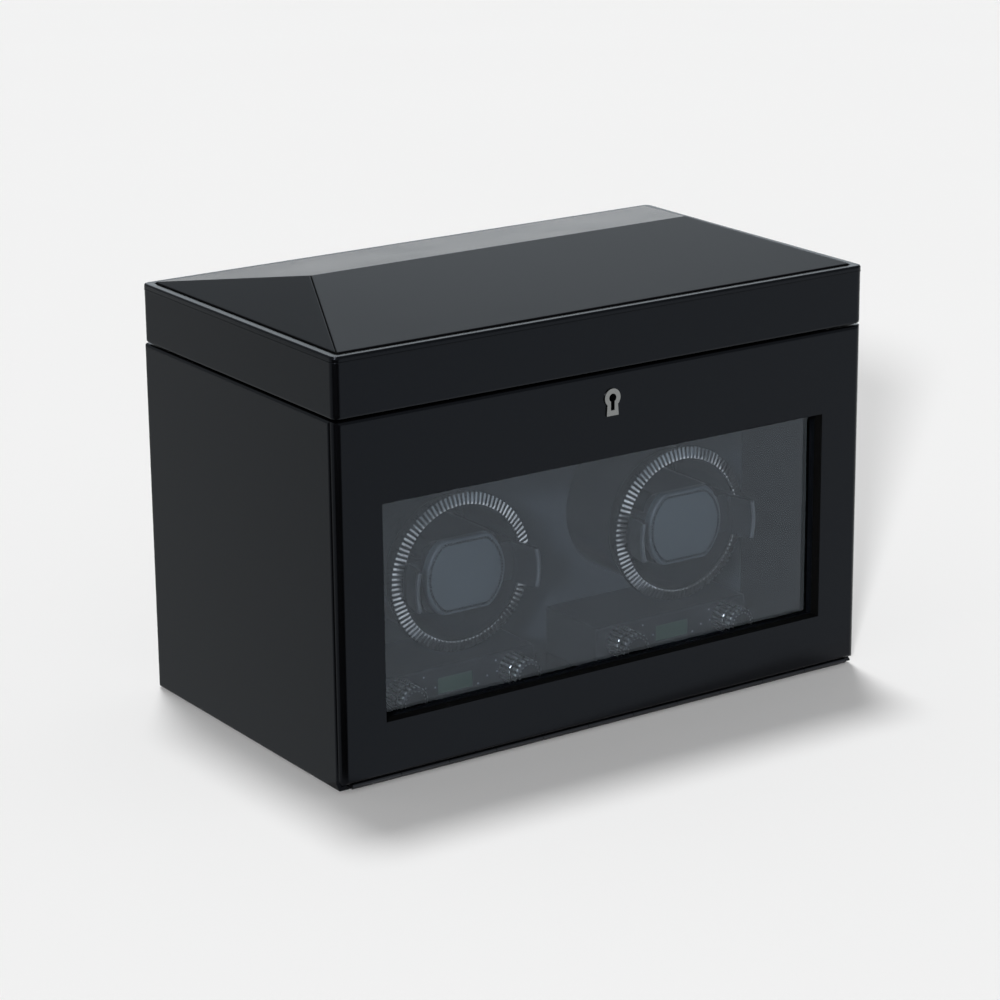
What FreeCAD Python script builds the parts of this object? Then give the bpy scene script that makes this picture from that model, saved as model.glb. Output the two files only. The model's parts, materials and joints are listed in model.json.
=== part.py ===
"""Watch winder box: a case with a glazed drop-front door, a hipped lid and two belt-driven winders.

Millimetres, +Z up, +X to the right, the door faces -Y. The origin is the middle of the footprint,
on the table. Inside this file x is measured from the middle, y backwards from the face of the door
and z upwards from the underside of the case; place() turns these into the frame of the part.
"""
import FreeCAD
import Part
import Sketcher
import math
import os
from types import SimpleNamespace

DRIVING_SIZES = {
    # Case
    "case_width": 340,
    "case_depth": 198,
    "body_height": 197.3,
    "wall": 11,
    "base_thickness": 11,
    "edge_round": 2,
    "foot_height": 1.5,
    "foot_radius": 9,
    "foot_inset": 24,
    # Lid
    "lid_gap": 1,
    "lid_height": 31.5,
    "lid_wall": 14,
    "lid_corner": 4,
    "rim_width": 5.2,
    "rim_round": 1,
    "foot_round": 1.5,
    "seat_depth": 8,
    "roof_stand": 1.5,
    "roof_rise": 15.5,
    "hip_run": 41.8,
    "roof_shell": 5,
    "ridge_width": 1.2,
    "seat_clearance": 0.4,
    "liner_thickness": 3,
    "liner_lap": 1,
    # Door
    "door_thickness": 9.5,
    "door_gap": 1,
    "door_lip": 4.2,
    "door_corner": 4,
    "tongue_width": 3.4,
    "tongue_clearance": 0.6,
    "stile": 27,
    "window_bottom": 33,
    "top_rail": 46.6,
    "glass_thickness": 3,
    "glass_lap": 8,
    "glass_clearance": 0.15,
    "frame_border": 6,
    "frame_thickness": 2.5,
    # Door hinge
    "hinge_inset": 1.8,
    "mitre_gap": 2,
    "pin_radius": 0.75,
    "knuckle_radius": 1.5,
    "knuckle_count": 11,
    "knuckle_gap": 0.3,
    "leaf_thickness": 0.8,
    "leaf_reach": 7,
    "hinge_margin": 6,
    "barrel_clearance": 0.3,
    "running_fit": 0.05,
    # Lid hinges
    "lid_pin_radius": 1.2,
    "lid_knuckle_radius": 3,
    "lid_leaf_thickness": 1.2,
    "lid_leaf_reach": 9,
    "lid_hinge_length": 30,
    "lid_hinge_spacing": 220,
    "leaf_clearance": 0.1,
    # Lock, keyhole and catch
    "lock_width": 32,
    "lock_height": 25,
    "lock_depth": 9,
    "lock_recess": 4,
    "lock_drop": 1,
    "bolt_width": 18,
    "bolt_thickness": 3,
    "bolt_height": 14,
    "bolt_setback": 1.5,
    "bolt_travel": 5,
    "bolt_clearance": 0.15,
    "keyhole_drop": 14,
    "key_radius": 2.3,
    "slot_width": 2.4,
    "slot_drop": 6.8,
    "keyway_depth": 1,
    "escutcheon_radius": 5,
    "escutcheon_neck": 6.8,
    "escutcheon_foot": 7.6,
    "escutcheon_drop": 9.7,
    "escutcheon_proud": 0.8,
    "strike_length": 30,
    "strike_width": 8,
    "strike_thickness": 1.2,
    "magnet_inset": 7.5,
    "magnet_radius": 3,
    "magnet_thickness": 3,
    "magnet_drop": 25,
    # Backboard, tray and cushions
    "backboard_front": 92,
    "backboard_thickness": 3,
    "backboard_hole_radius": 12,
    "ledge_size": 8,
    "tray_front": 24,
    "tray_height": 42,
    "tray_drop": 1,
    "tray_wall": 4,
    "tray_floor": 4,
    "tray_clearance": 0.5,
    "watch_bay_count": 3,
    "watch_bay_depth": 92,
    "cushion_width": 72,
    "cushion_depth": 84,
    "cushion_height": 36,
    "cushion_corner": 12,
    "cushion_waist": 1.5,
    # Winders
    "winder_inset": 70.5,
    "rotor_drop": 0.55,
    "bezel_front": 35,
    "bezel_length": 13,
    "bezel_wall": 1.5,
    "bezel_lip": 1.5,
    "bezel_brim": 3,
    "bezel_flange": 5,
    "bezel_rise": 1.4,
    "mouth_land": 0.8,
    "flute_count": 96,
    "flute_depth": 0.8,
    "flute_width": 2,
    "drum_radius": 39.4,
    "drum_wall": 2,
    "drum_floor": 3,
    "drum_length": 53.5,
    "push_fit": 0.1,
    "cuff_clearance": 0.5,
    "cuff_width": 48,
    "cuff_height": 40,
    "cuff_corner": 8,
    "cuff_front": 38,
    "cuff_length": 42,
    "ear_front": 20,
    "ear_height": 22,
    "ear_thickness": 2.5,
    "ear_lead": 1,
    "ear_flare": 2.6,
    "pad_front": 31,
    "pad_width": 51,
    "pad_height": 42,
    "pad_edge": 30,
    "shaft_radius": 5,
    "shaft_flange_radius": 9,
    "shaft_flange": 2,
    "bush_radius": 8,
    "bush_flange_radius": 11,
    "bush_flange": 1.5,
    "bush_length": 12,
    # Drive
    "gearbox_width": 90,
    "gearbox_headroom": 14.3,
    "gearbox_depth": 50,
    "gearbox_wall": 3,
    "boss_wall": 3,
    "cover_thickness": 2.5,
    "pulley_setback": 15,
    "pulley_width": 8,
    "pulley_cheek": 1,
    "pulley_flange": 1.5,
    "drum_pulley_radius": 20,
    "motor_pulley_radius": 5,
    "belt_thickness": 1.5,
    "belt_clearance": 0.25,
    "belt_slack": 0.5,
    "motor_drop": 38,
    "motor_radius": 12,
    "motor_length": 25,
    "motor_nose_radius": 3.5,
    "motor_nose": 1.2,
    "motor_shaft_radius": 1.5,
    "motor_shaft_engaged": 4,
    "motor_cup_wall": 2.5,
    "motor_cup_depth": 8,
    # Controls
    "control_front": 44,
    "control_width": 104,
    "control_height": 27,
    "control_wall": 2.5,
    "control_round": 1.5,
    "display_width": 22,
    "display_height": 9,
    "display_thickness": 2,
    "display_rise": 16,
    "display_inset": 0.2,
    "knob_inset": 15.6,
    "knob_rise": 17.3,
    "knob_radius": 8.6,
    "knob_length": 17,
    "knob_clearance": 0.3,
    "knob_flutes": 18,
    "knob_flute_depth": 0.9,
    "knob_groove": 2,
    "knob_front_band": 4.2,
    "knob_face": 1,
    "knob_shaft_radius": 3,
    "switch_size": 12,
    "switch_depth": 6,
    "board_side_gap": 1.5,
    "board_top_gap": 0.5,
    "board_rise": 2,
    "board_thickness": 1.6,
    # Power
    "inlet_level": 30,
    "inlet_radius": 5,
    "inlet_flange_radius": 7,
    "inlet_flange": 2,
    "inlet_bore_radius": 3,
    "inlet_bore_depth": 10,
    "inlet_pin_radius": 1,
    "inlet_tail": 8,
    "inlet_fit": 0.1,
    "lead_radius": 1.5,
    "lead_bend": 10,
    "lead_spacing": 5,
}

SQRT_HALF = math.sqrt(0.5)
SAME_PLACE = 1e-4
# The soft forms as rings: how far each is drawn in, and its level, as shares of a corner and a height
CUSHION_RINGS = ((0.4, 0), (0.1, 0.15), (0, 0.45), (0.2, 0.75), (0.7, 0.93), (1.5, 1))
PAD_RINGS = ((0.2, 1), (0, 0.6), (0.15, 0.25), (0.6, 0.05), (1.2, 0))
RIGHT_TURN = 90
FULL_TURN = 360
# How far a flute's cutter stands above the cone, and how far it runs past both of its ends
FLUTE_LIFT = 0.1
FLUTE_OVERRUN = 1.2
MITRE_TURN = 45
TURNS = {
    "X": FreeCAD.Rotation(FreeCAD.Vector(0, 1, 0), RIGHT_TURN),
    "Y": FreeCAD.Rotation(FreeCAD.Vector(1, 0, 0), -RIGHT_TURN),
    "Z": FreeCAD.Rotation(),
}
SIDES = {"left": -1, "right": 1}

doc = FreeCAD.newDocument("WatchWinderBox")
sheet = doc.addObject("Spreadsheet::Sheet", "Sizes")
for row, (alias, number) in enumerate(DRIVING_SIZES.items(), start=1):
    sheet.set(f"A{row}", alias)
    sheet.set(f"B{row}", str(number))
    sheet.setAlias(f"B{row}", alias)
doc.recompute()


class Size:
    """A length that knows its value now and the sheet formula that it follows."""

    def __init__(self, value, formula):
        self.value = value
        self.formula = formula

    @staticmethod
    def of(other):
        return other if isinstance(other, Size) else Size(other, f"({other})")

    def __add__(self, other):
        other = Size.of(other)
        return Size(self.value + other.value, f"({self.formula} + {other.formula})")

    def __sub__(self, other):
        other = Size.of(other)
        return Size(self.value - other.value, f"({self.formula} - {other.formula})")

    def __mul__(self, other):
        other = Size.of(other)
        return Size(self.value * other.value, f"({self.formula} * {other.formula})")

    def __truediv__(self, other):
        other = Size.of(other)
        return Size(self.value / other.value, f"({self.formula} / {other.formula})")

    def __radd__(self, other):
        return Size.of(other) + self

    def __rsub__(self, other):
        return Size.of(other) - self

    def __rmul__(self, other):
        return Size.of(other) * self

    def __neg__(self):
        return Size(-self.value, f"(-1 * {self.formula})")


def root(size):
    """The square root of a size that is an area."""
    return Size(math.sqrt(size.value), f"sqrt({size.formula})")


s = SimpleNamespace(**{alias: Size(sheet.get(alias), f"Sizes.{alias}") for alias in DRIVING_SIZES})
ZERO = Size.of(0)

# Places that several pieces share
door_face = (s.escutcheon_proud - s.case_depth - s.lid_knuckle_radius) / 2
half_width = s.case_width / 2
inner_half = half_width - s.wall
case_front = s.door_thickness + s.door_gap
tongue_front = s.door_lip + s.door_gap
magnet_out = half_width - s.magnet_inset
barrel_room = s.knuckle_radius + s.barrel_clearance
door_low = s.hinge_inset + barrel_room
mitre_rise = s.mitre_gap * SQRT_HALF
window_half = half_width - s.stile
winder_offset = window_half - s.winder_inset
window_height = s.body_height - s.window_bottom - s.top_rail
keyhole_level = s.body_height - s.keyhole_drop
rotor_level = s.window_bottom + window_height / 2 - s.rotor_drop
lid_low = s.body_height + s.lid_gap
roof_seat = lid_low + s.lid_height - s.seat_depth
roof_edge = s.seat_depth + s.roof_stand
lid_axis_level = s.body_height + s.lid_gap / 2
tray_low = s.body_height - s.tray_drop - s.tray_height
gearbox_height = tray_low - s.gearbox_headroom - s.base_thickness
backboard_back = s.backboard_front + s.backboard_thickness
gearbox_back = backboard_back + s.gearbox_depth
cover_back = gearbox_back + s.cover_thickness
pulley_front = backboard_back + s.pulley_setback
pulley_back = pulley_front + s.pulley_width
motor_front = gearbox_back - s.motor_length
motor_level = rotor_level - s.motor_drop
control_back_of_face = s.control_front + s.control_wall
display_level = s.base_thickness + s.display_rise
knob_level = s.base_thickness + s.knob_rise
knob_offset = s.control_width / 2 - s.knob_inset
bolt_front = s.door_thickness - s.lock_recess + s.bolt_setback
lock_top = s.body_height - s.lock_drop
inlet_inner_end = s.case_depth - s.wall - s.inlet_tail

nodes = {}


def bind(thing, formulas):
    """Tie properties of an object to the sheet."""
    for path, size in formulas.items():
        thing.setExpression(path, Size.of(size).formula)


def place(thing, x, y, z):
    """Put an object at x from the middle, y behind the door's face, z above the case's underside."""
    bind(thing, {
        "Placement.Base.x": x,
        "Placement.Base.y": door_face + y,
        "Placement.Base.z": s.foot_height + z,
    })
    return thing


def place_shape(thing, x, y, z):
    """Give a finished shape its place from the values of the sizes."""
    thing.Placement.Base = FreeCAD.Vector(
        Size.of(x).value, (door_face + y).value, (s.foot_height + z).value
    )
    return thing


def node(thing, label):
    """Name a finished piece; the label names its file."""
    thing.Label = label
    nodes[label] = thing
    return thing


def block(name, x, y, z, width, depth, height, turn=0):
    """A box from its left, front, lower corner, turned about X by a number of degrees."""
    thing = doc.addObject("Part::Box", name)
    thing.Placement.Rotation = FreeCAD.Rotation(FreeCAD.Vector(1, 0, 0), turn)
    bind(thing, {"Length": width, "Width": depth, "Height": height})
    return place(thing, x, y, z)


def rod(name, axis, x, y, z, radius, length):
    """A cylinder that runs from a point along one axis."""
    thing = doc.addObject("Part::Cylinder", name)
    thing.Placement.Rotation = TURNS[axis]
    bind(thing, {"Radius": radius, "Height": length})
    return place(thing, x, y, z)


def fuse(name, pieces):
    thing = doc.addObject("Part::MultiFuse", name)
    thing.Shapes = pieces
    return thing


def group(name, pieces):
    """Identical separate solids that share one node."""
    thing = doc.addObject("Part::Compound", name)
    thing.Links = pieces
    return thing


def cut(name, base, tools):
    thing = doc.addObject("Part::Cut", name)
    thing.Base = base
    thing.Tool = tools[0] if len(tools) == 1 else fuse(f"{name}_tools", tools)
    return thing


def new_body(name, x=ZERO, y=ZERO, z=ZERO):
    return place(doc.addObject("PartDesign::Body", name), x, y, z)


def new_sketch(body, role, name, offset=ZERO):
    """A sketch on one of the body's origin planes, moved along that plane's normal."""
    sketch = body.newObject("Sketcher::SketchObject", name)
    plane = next(item for item in body.Origin.OriginFeatures if item.Role == role)
    sketch.AttachmentSupport = (plane, [""])
    sketch.MapMode = "FlatFace"
    bind(sketch, {"AttachmentOffset.Base.z": offset})
    return sketch


def facing_sketch(body, name, y=ZERO):
    """A sketch that faces the front, y behind the body's own origin."""
    return new_sketch(body, "XZ_Plane", name, -y)


def hold(sketch, kind, *place_and_size):
    """Add a dimension to a sketch and tie it to the sheet."""
    *where, size = place_and_size
    index = sketch.addConstraint(Sketcher.Constraint(kind, *where, size.value))
    sketch.setExpression(f"Constraints[{index}]", size.formula)


def outline(sketch, corners):
    """A closed outline, anticlockwise. A corner is (u, v), or (u, v, bulge) where the side after it
    is an arc that stands out by bulge, or in where bulge is negative."""
    first = sketch.GeometryCount
    count = len(corners)
    starts = []
    ends = []
    spots = [FreeCAD.Vector(Size.of(corner[0]).value, Size.of(corner[1]).value, 0) for corner in corners]
    for index, corner in enumerate(corners):
        start = spots[index]
        end = spots[(index + 1) % count]
        side = first + index
        if len(corner) == 2:
            sketch.addGeometry(Part.LineSegment(start, end), False)
            starts.append((side, 1))
            ends.append((side, 2))
            continue
        bulge = corner[2]
        run = end - start
        outward = FreeCAD.Vector(run.y, -run.x, 0).normalize()
        sketch.addGeometry(Part.Arc(start, (start + end) / 2 + outward * bulge.value, end), False)
        starts.append((side, 1 if bulge.value > 0 else 2))
        ends.append((side, 2 if bulge.value > 0 else 1))
    for index, corner in enumerate(corners):
        following = (index + 1) % count
        sketch.addConstraint(Sketcher.Constraint("Coincident", *ends[index], *starts[following]))
        hold(sketch, "DistanceX", -1, 1, *starts[index], Size.of(corner[0]))
        hold(sketch, "DistanceY", -1, 1, *starts[index], Size.of(corner[1]))
    for index, corner in enumerate(corners):
        if len(corner) == 3:
            hold(sketch, "Radius", first + index, arc_radius(corner, corners[(index + 1) % count]))
    return sketch


def arc_radius(corner, following):
    """The radius of an arc side, from its chord and how far it stands out or in."""
    bulge = corner[2] if corner[2].value > 0 else -corner[2]
    across = Size.of(following[0]) - corner[0]
    along = Size.of(following[1]) - corner[1]
    return ((across * across + along * along) / 4 + bulge * bulge) / (2 * bulge)


def rectangle(sketch, left, low, width, height):
    right = Size.of(left) + width
    top = Size.of(low) + height
    return outline(sketch, [(left, low), (right, low), (right, top), (left, top)])


def circle(sketch, u, v, radius):
    centre = FreeCAD.Vector(Size.of(u).value, Size.of(v).value, 0)
    index = sketch.addGeometry(Part.Circle(centre, FreeCAD.Vector(0, 0, 1), radius.value), False)
    hold(sketch, "DistanceX", -1, 1, index, 3, Size.of(u))
    hold(sketch, "DistanceY", -1, 1, index, 3, Size.of(v))
    hold(sketch, "Radius", index, radius)
    return sketch


def pad(body, sketch, length, reverse=False, symmetric=False):
    feature = body.newObject("PartDesign::Pad", f"{sketch.Name}_pad")
    feature.Profile = sketch
    feature.Reversed = reverse
    feature.SideType = "Symmetric" if symmetric else "One side"
    bind(feature, {"Length": length})
    return feature


def pocket(body, sketch, depth=None, reverse=False):
    """Cut a sketch out of its body, to a depth or right through."""
    feature = body.newObject("PartDesign::Pocket", f"{sketch.Name}_pocket")
    feature.Profile = sketch
    feature.Reversed = reverse
    if depth is None:
        feature.Type = "ThroughAll"
    else:
        bind(feature, {"Length": depth})
    return feature


def round_edges(body, name, radius, test):
    """Round the edges of a body's last feature whose middle and direction pass a test."""
    doc.recompute()
    base = body.Tip
    chosen = []
    for number, edge in enumerate(base.Shape.Edges, start=1):
        if edge.Degenerated:
            continue
        middle = edge.CenterOfMass
        along = edge.tangentAt(edge.FirstParameter)
        if test(middle, along):
            chosen.append(f"Edge{number}")
    feature = body.newObject("PartDesign::Fillet", name)
    feature.Base = (base, chosen)
    bind(feature, {"Radius": radius})
    return feature


def same(number, size):
    """Whether a coordinate lies on a size's value."""
    return abs(number - Size.of(size).value) < SAME_PLACE


def turned(name, x, z, corners):
    """A piece turned about an axis along Y; a corner is (y behind the door's face, radius)."""
    body = new_body(name, x, ZERO, z)
    sketch = outline(new_sketch(body, "YZ_Plane", f"{name}_section"), corners)
    feature = body.newObject("PartDesign::Revolution", f"{name}_turn")
    feature.Profile = sketch
    feature.ReferenceAxis = (sketch, ["H_Axis"])
    return body


def front_loop(corners):
    """A closed wire in the X-Z plane through points, or (point, middle of an arc to the next)."""
    edges = []
    for index, corner in enumerate(corners):
        start = corner[0]
        end = corners[(index + 1) % len(corners)][0]
        edges.append(Part.Arc(start, corner[1], end).toShape() if len(corner) == 2
                     else Part.LineSegment(start, end).toShape())
    return Part.Wire(edges)


def fluted_face(radius, depth, count):
    """A disc in the X-Z plane with a ridge and a valley for each of its flutes."""
    half_step = math.pi / count
    points = []
    for index in range(2 * count):
        reach = radius - (depth if index % 2 else 0)
        points.append(FreeCAD.Vector(reach * math.cos(index * half_step), 0,
                                     reach * math.sin(index * half_step)))
    return Part.Face(Part.makePolygon(points + points[:1]))


def disc(radius, front, length):
    """A round bar along +Y from y = front."""
    return Part.makeCylinder(radius, length, FreeCAD.Vector(0, front, 0), FreeCAD.Vector(0, 1, 0))


def fluted_bar(radius, depth, count, front, length):
    face = fluted_face(radius, depth, count)
    face.translate(FreeCAD.Vector(0, front, 0))
    return face.extrude(FreeCAD.Vector(0, length, 0))


# Case boards
def toe(tall, back):
    """The section of a case board: its front edge leans forward under the mitre of the door."""
    return [
        (door_low, ZERO),
        (back, ZERO),
        (back, tall),
        (case_front, tall),
        (case_front, case_front - mitre_rise),
        (door_low, door_low - mitre_rise),
    ]


def make_base_board():
    body = new_body("base_board")
    section = outline(
        new_sketch(body, "YZ_Plane", "base_section"), toe(s.base_thickness, s.case_depth - s.wall)
    )
    pad(body, section, 2 * inner_half, symmetric=True)
    node(body, "base_board")


def make_side(side, sign):
    name = f"{side}_side"
    body = new_body(name, sign * (half_width - s.wall / 2))
    section = outline(new_sketch(body, "YZ_Plane", f"{name}_section"), toe(s.body_height, s.case_depth))
    pad(body, section, s.wall, symmetric=True)
    tongue = outline(new_sketch(body, "YZ_Plane", f"{name}_tongue", sign * (s.wall / 2 - s.tongue_width)), [
        (tongue_front, tongue_front - mitre_rise),
        (case_front, case_front - mitre_rise),
        (case_front, s.body_height),
        (tongue_front, s.body_height),
    ])
    pad(body, tongue, s.tongue_width, reverse=sign < 0)
    seat = circle(
        facing_sketch(body, f"{name}_magnet", case_front),
        sign * (s.wall / 2 - s.magnet_inset), s.body_height - s.magnet_drop, s.magnet_radius,
    )
    pocket(body, seat, s.magnet_thickness)
    outer = sign * s.wall / 2

    def is_outer_edge(middle, along):
        return same(middle.x, outer) and middle.z > (door_low - mitre_rise).value

    round_edges(body, f"{name}_round", s.edge_round, is_outer_edge)
    node(body, name)


def make_back_panel():
    blank = block("back_blank", -inner_half, s.case_depth - s.wall, ZERO,
                  2 * inner_half, s.wall, s.body_height)
    inlet_hole = rod("inlet_hole", "Y", ZERO, s.case_depth - s.wall, s.inlet_level,
                     s.inlet_radius + s.inlet_fit, s.wall)
    tools = [inlet_hole]
    for side, sign in SIDES.items():
        tools.append(hinge_groove(f"back_groove_{side}", sign))
        tools.append(hinge_seat(f"back_seat_{side}", sign, s.body_height - s.lid_leaf_thickness))
    node(cut("back_cut", blank, tools), "back_panel")


def make_feet():
    feet = []
    for side, sign in SIDES.items():
        for row, depth in (("front", s.foot_inset), ("back", s.case_depth - s.foot_inset)):
            feet.append(rod(f"foot_{side}_{row}", "Z", sign * (half_width - s.foot_inset), depth,
                            -s.foot_height, s.foot_radius, s.foot_height))
    node(group("feet_group", feet), "felt_feet")


def make_backboard():
    low = s.base_thickness
    blank = block("backboard_blank", -inner_half, s.backboard_front, low,
                  2 * inner_half, s.backboard_thickness, tray_low - s.ledge_size - low)
    holes = [
        rod(f"backboard_hole_{side}", "Y", sign * winder_offset, s.backboard_front, rotor_level,
            s.backboard_hole_radius, s.backboard_thickness)
        for side, sign in SIDES.items()
    ]
    node(cut("backboard_cut", blank, holes), "backboard")


# Storage tray
def make_ledges():
    ledges = []
    for side, left in (("left", -inner_half), ("right", inner_half - s.ledge_size)):
        ledges.append(block(f"ledge_{side}", left, s.tray_front, tray_low - s.ledge_size, s.ledge_size,
                            s.case_depth - s.wall - s.tray_front, s.ledge_size))
    node(group("ledge_group", ledges), "tray_ledges")


tray_half = inner_half - s.tray_clearance
tray_back = s.case_depth - s.wall - s.tray_clearance
watch_bay_width = (2 * tray_half - (s.watch_bay_count + 1) * s.tray_wall) / s.watch_bay_count
watch_bay_front = s.tray_front + s.tray_wall
long_bay_front = watch_bay_front + s.watch_bay_depth + s.tray_wall


def watch_bay_left(index):
    return -tray_half + s.tray_wall + index * (watch_bay_width + s.tray_wall)


def make_tray():
    body = new_body("storage_tray", ZERO, ZERO, tray_low)
    plan = rectangle(new_sketch(body, "XY_Plane", "tray_plan"),
                     -tray_half, s.tray_front, 2 * tray_half, tray_back - s.tray_front)
    pad(body, plan, s.tray_height)
    bays = new_sketch(body, "XY_Plane", "tray_bays", s.tray_height)
    for index in range(DRIVING_SIZES["watch_bay_count"]):
        rectangle(bays, watch_bay_left(index), watch_bay_front, watch_bay_width, s.watch_bay_depth)
    rectangle(bays, -tray_half + s.tray_wall, long_bay_front, 2 * (tray_half - s.tray_wall),
              tray_back - s.tray_wall - long_bay_front)
    pocket(body, bays, s.tray_height - s.tray_floor)
    node(body, "storage_tray")


def cushion_ring(inset, level):
    """A loop round the cushion: corners stand out, and the sides draw in between them."""
    half_w = (s.cushion_width / 2).value - inset
    half_d = (s.cushion_depth / 2).value - inset
    corner = min(s.cushion_corner.value, half_w, half_d)
    waist = s.cushion_waist.value
    spread = corner * (1 - SQRT_HALF)
    points = []
    for turn in range(4):
        across, along = (half_w, half_d) if turn % 2 == 0 else (half_d, half_w)
        spin = FreeCAD.Rotation(FreeCAD.Vector(0, 0, 1), RIGHT_TURN * turn)
        for spot in ((across, -along + corner), (across - waist, 0), (across, along - corner),
                     (across - spread, along - spread)):
            points.append(spin.multVec(FreeCAD.Vector(spot[0], spot[1], 0)) + FreeCAD.Vector(0, 0, level))
    edges = []
    for start in range(0, len(points), 2):
        end = points[(start + 2) % len(points)]
        edges.append(Part.Arc(points[start], points[start + 1], end).toShape())
    return Part.Wire(edges)


def make_cushions():
    """A stuffed watch cushion for each bay: swollen sides and a crowned top."""
    tall = s.cushion_height.value
    corner = s.cushion_corner.value
    rings = [cushion_ring(corner * inset, tall * level) for inset, level in CUSHION_RINGS]
    shape = Part.makeLoft(rings, True)
    for index in range(DRIVING_SIZES["watch_bay_count"]):
        thing = doc.addObject("Part::Feature", f"cushion_{index + 1}")
        thing.Shape = shape
        place_shape(thing, watch_bay_left(index) + watch_bay_width / 2,
                    watch_bay_front + s.watch_bay_depth / 2, tray_low + s.tray_floor)
        node(thing, f"watch_cushion_{index + 1}")


# Lid
def lid_rectangle(body, name, inset, level=ZERO):
    """A rectangle in plan, a given distance inside the outer faces of the lid."""
    sketch = new_sketch(body, "XY_Plane", name, level)
    return rectangle(sketch, -half_width + inset, inset, s.case_width - 2 * inset, s.case_depth - 2 * inset)


def make_lid_frame():
    body = new_body("lid_frame_blank", ZERO, ZERO, lid_low)
    pad(body, lid_rectangle(body, "lid_plan", ZERO), s.lid_height)
    pocket(body, lid_rectangle(body, "lid_opening", s.lid_wall, s.lid_height))
    pocket(body, lid_rectangle(body, "lid_rebate", s.rim_width, s.lid_height), s.seat_depth)

    def is_corner(middle, along):
        on_side = same(abs(middle.x), half_width)
        return on_side and abs(along.z) > SQRT_HALF

    def is_outer(middle):
        on_side = abs(middle.x) > (half_width - s.rim_width / 2).value
        half_depth = s.case_depth / 2
        on_end = abs(middle.y - half_depth.value) > (half_depth - s.rim_width / 2).value
        return on_side or on_end

    round_edges(body, "lid_corners", s.lid_corner, is_corner)
    round_edges(body, "lid_rim", s.rim_round,
                lambda middle, along: same(middle.z, s.lid_height) and is_outer(middle))
    round_edges(body, "lid_rim_inside", s.rim_round / 2,
                lambda middle, along: same(middle.z, s.lid_height) and not is_outer(middle))
    round_edges(body, "lid_foot", s.foot_round,
                lambda middle, along: same(middle.z, ZERO) and is_outer(middle))
    tools = []
    for side, sign in SIDES.items():
        tools.append(hinge_groove(f"lid_groove_{side}", sign))
        tools.append(hinge_seat(f"lid_seat_{side}", sign, lid_low))
    strike_y = bolt_front + (s.bolt_thickness - s.strike_width) / 2
    tools.append(block("strike_seat", -s.strike_length / 2, strike_y, lid_low,
                       s.strike_length, s.strike_width, s.strike_thickness))
    tools.append(bolt_room("lid_mortise", lid_low, s.bolt_travel))
    node(cut("lid_frame_cut", body, tools), "lid_frame")
    plate = block("strike_blank", -s.strike_length / 2, strike_y, lid_low,
                  s.strike_length, s.strike_width, s.strike_thickness)
    slot = bolt_room("strike_slot", lid_low, s.strike_thickness)
    node(cut("strike_cut", plate, [slot]), "strike_plate")


def make_lid_roof():
    body = new_body("lid_roof", ZERO, ZERO, roof_seat)
    outer = s.rim_width + s.seat_clearance
    inner = s.lid_wall + s.liner_lap
    top = roof_edge + s.roof_rise
    ridge_inset = (s.case_depth - s.ridge_width) / 2
    pad(body, lid_rectangle(body, "roof_plan", outer), roof_edge)

    def ridge(name, level, run):
        left = -half_width + run
        sketch = new_sketch(body, "XY_Plane", name, level)
        return rectangle(sketch, left, ridge_inset, -2 * left, s.ridge_width)

    rise = body.newObject("PartDesign::AdditiveLoft", "roof_slopes")
    rise.Profile = lid_rectangle(body, "roof_eaves", outer, roof_edge)
    rise.Sections = [(ridge("roof_ridge", top, outer + s.hip_run), [""])]
    rise.Ruled = True
    hollow = body.newObject("PartDesign::SubtractiveLoft", "roof_hollow")
    hollow.Profile = lid_rectangle(body, "hollow_eaves", inner)
    hollow.Sections = [(ridge("hollow_ridge", top - s.roof_shell, outer + s.hip_run + s.roof_shell), [""])]
    hollow.Ruled = True
    node(body, "lid_roof")


def make_lid_liner():
    inset = s.lid_wall + s.seat_clearance
    node(block("lid_liner_panel", -half_width + inset, inset, roof_seat - s.liner_thickness,
               s.case_width - 2 * inset, s.case_depth - 2 * inset, s.liner_thickness), "lid_liner")


# Lid hinges
def hinge_middle(sign):
    return sign * s.lid_hinge_spacing / 2


def hinge_groove(name, sign):
    """Room for the barrel of a lid hinge in the edges that it lies on."""
    room = s.barrel_clearance + s.leaf_clearance
    return rod(name, "X", hinge_middle(sign) - s.lid_hinge_length / 2 - room, s.case_depth, lid_axis_level,
               s.lid_knuckle_radius + room, s.lid_hinge_length + 2 * room)


def hinge_seat(name, sign, low):
    """The shallow mortise for one leaf of a lid hinge."""
    length = s.lid_hinge_length + 2 * s.leaf_clearance
    reach = s.lid_leaf_reach + s.leaf_clearance
    return block(name, hinge_middle(sign) - length / 2, s.case_depth - reach, low,
                 length, reach, s.lid_leaf_thickness)


def lid_leaf(name, sign, low, thirds):
    """One leaf with its knuckles, which take up the named thirds of the barrel."""
    left = hinge_middle(sign) - s.lid_hinge_length / 2
    third = s.lid_hinge_length / 3
    edge = s.lid_knuckle_radius + s.barrel_clearance
    solids = [block(f"{name}_plate", left, s.case_depth - s.lid_leaf_reach, low,
                    s.lid_hinge_length, s.lid_leaf_reach - edge, s.lid_leaf_thickness)]
    for number in thirds:
        start = left + number * third + s.knuckle_gap / 2
        length = third - s.knuckle_gap
        solids.append(block(f"{name}_web_{number}", start, s.case_depth - edge, low,
                            length, edge - s.lid_pin_radius - s.running_fit, s.lid_leaf_thickness))
        solids.append(rod(f"{name}_knuckle_{number}", "X", start, s.case_depth, lid_axis_level,
                          s.lid_knuckle_radius, length))
    bore = rod(f"{name}_bore", "X", left, s.case_depth, lid_axis_level,
               s.lid_pin_radius + s.running_fit, s.lid_hinge_length)
    return cut(f"{name}_leaf", fuse(f"{name}_blank", solids), [bore])


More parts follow.
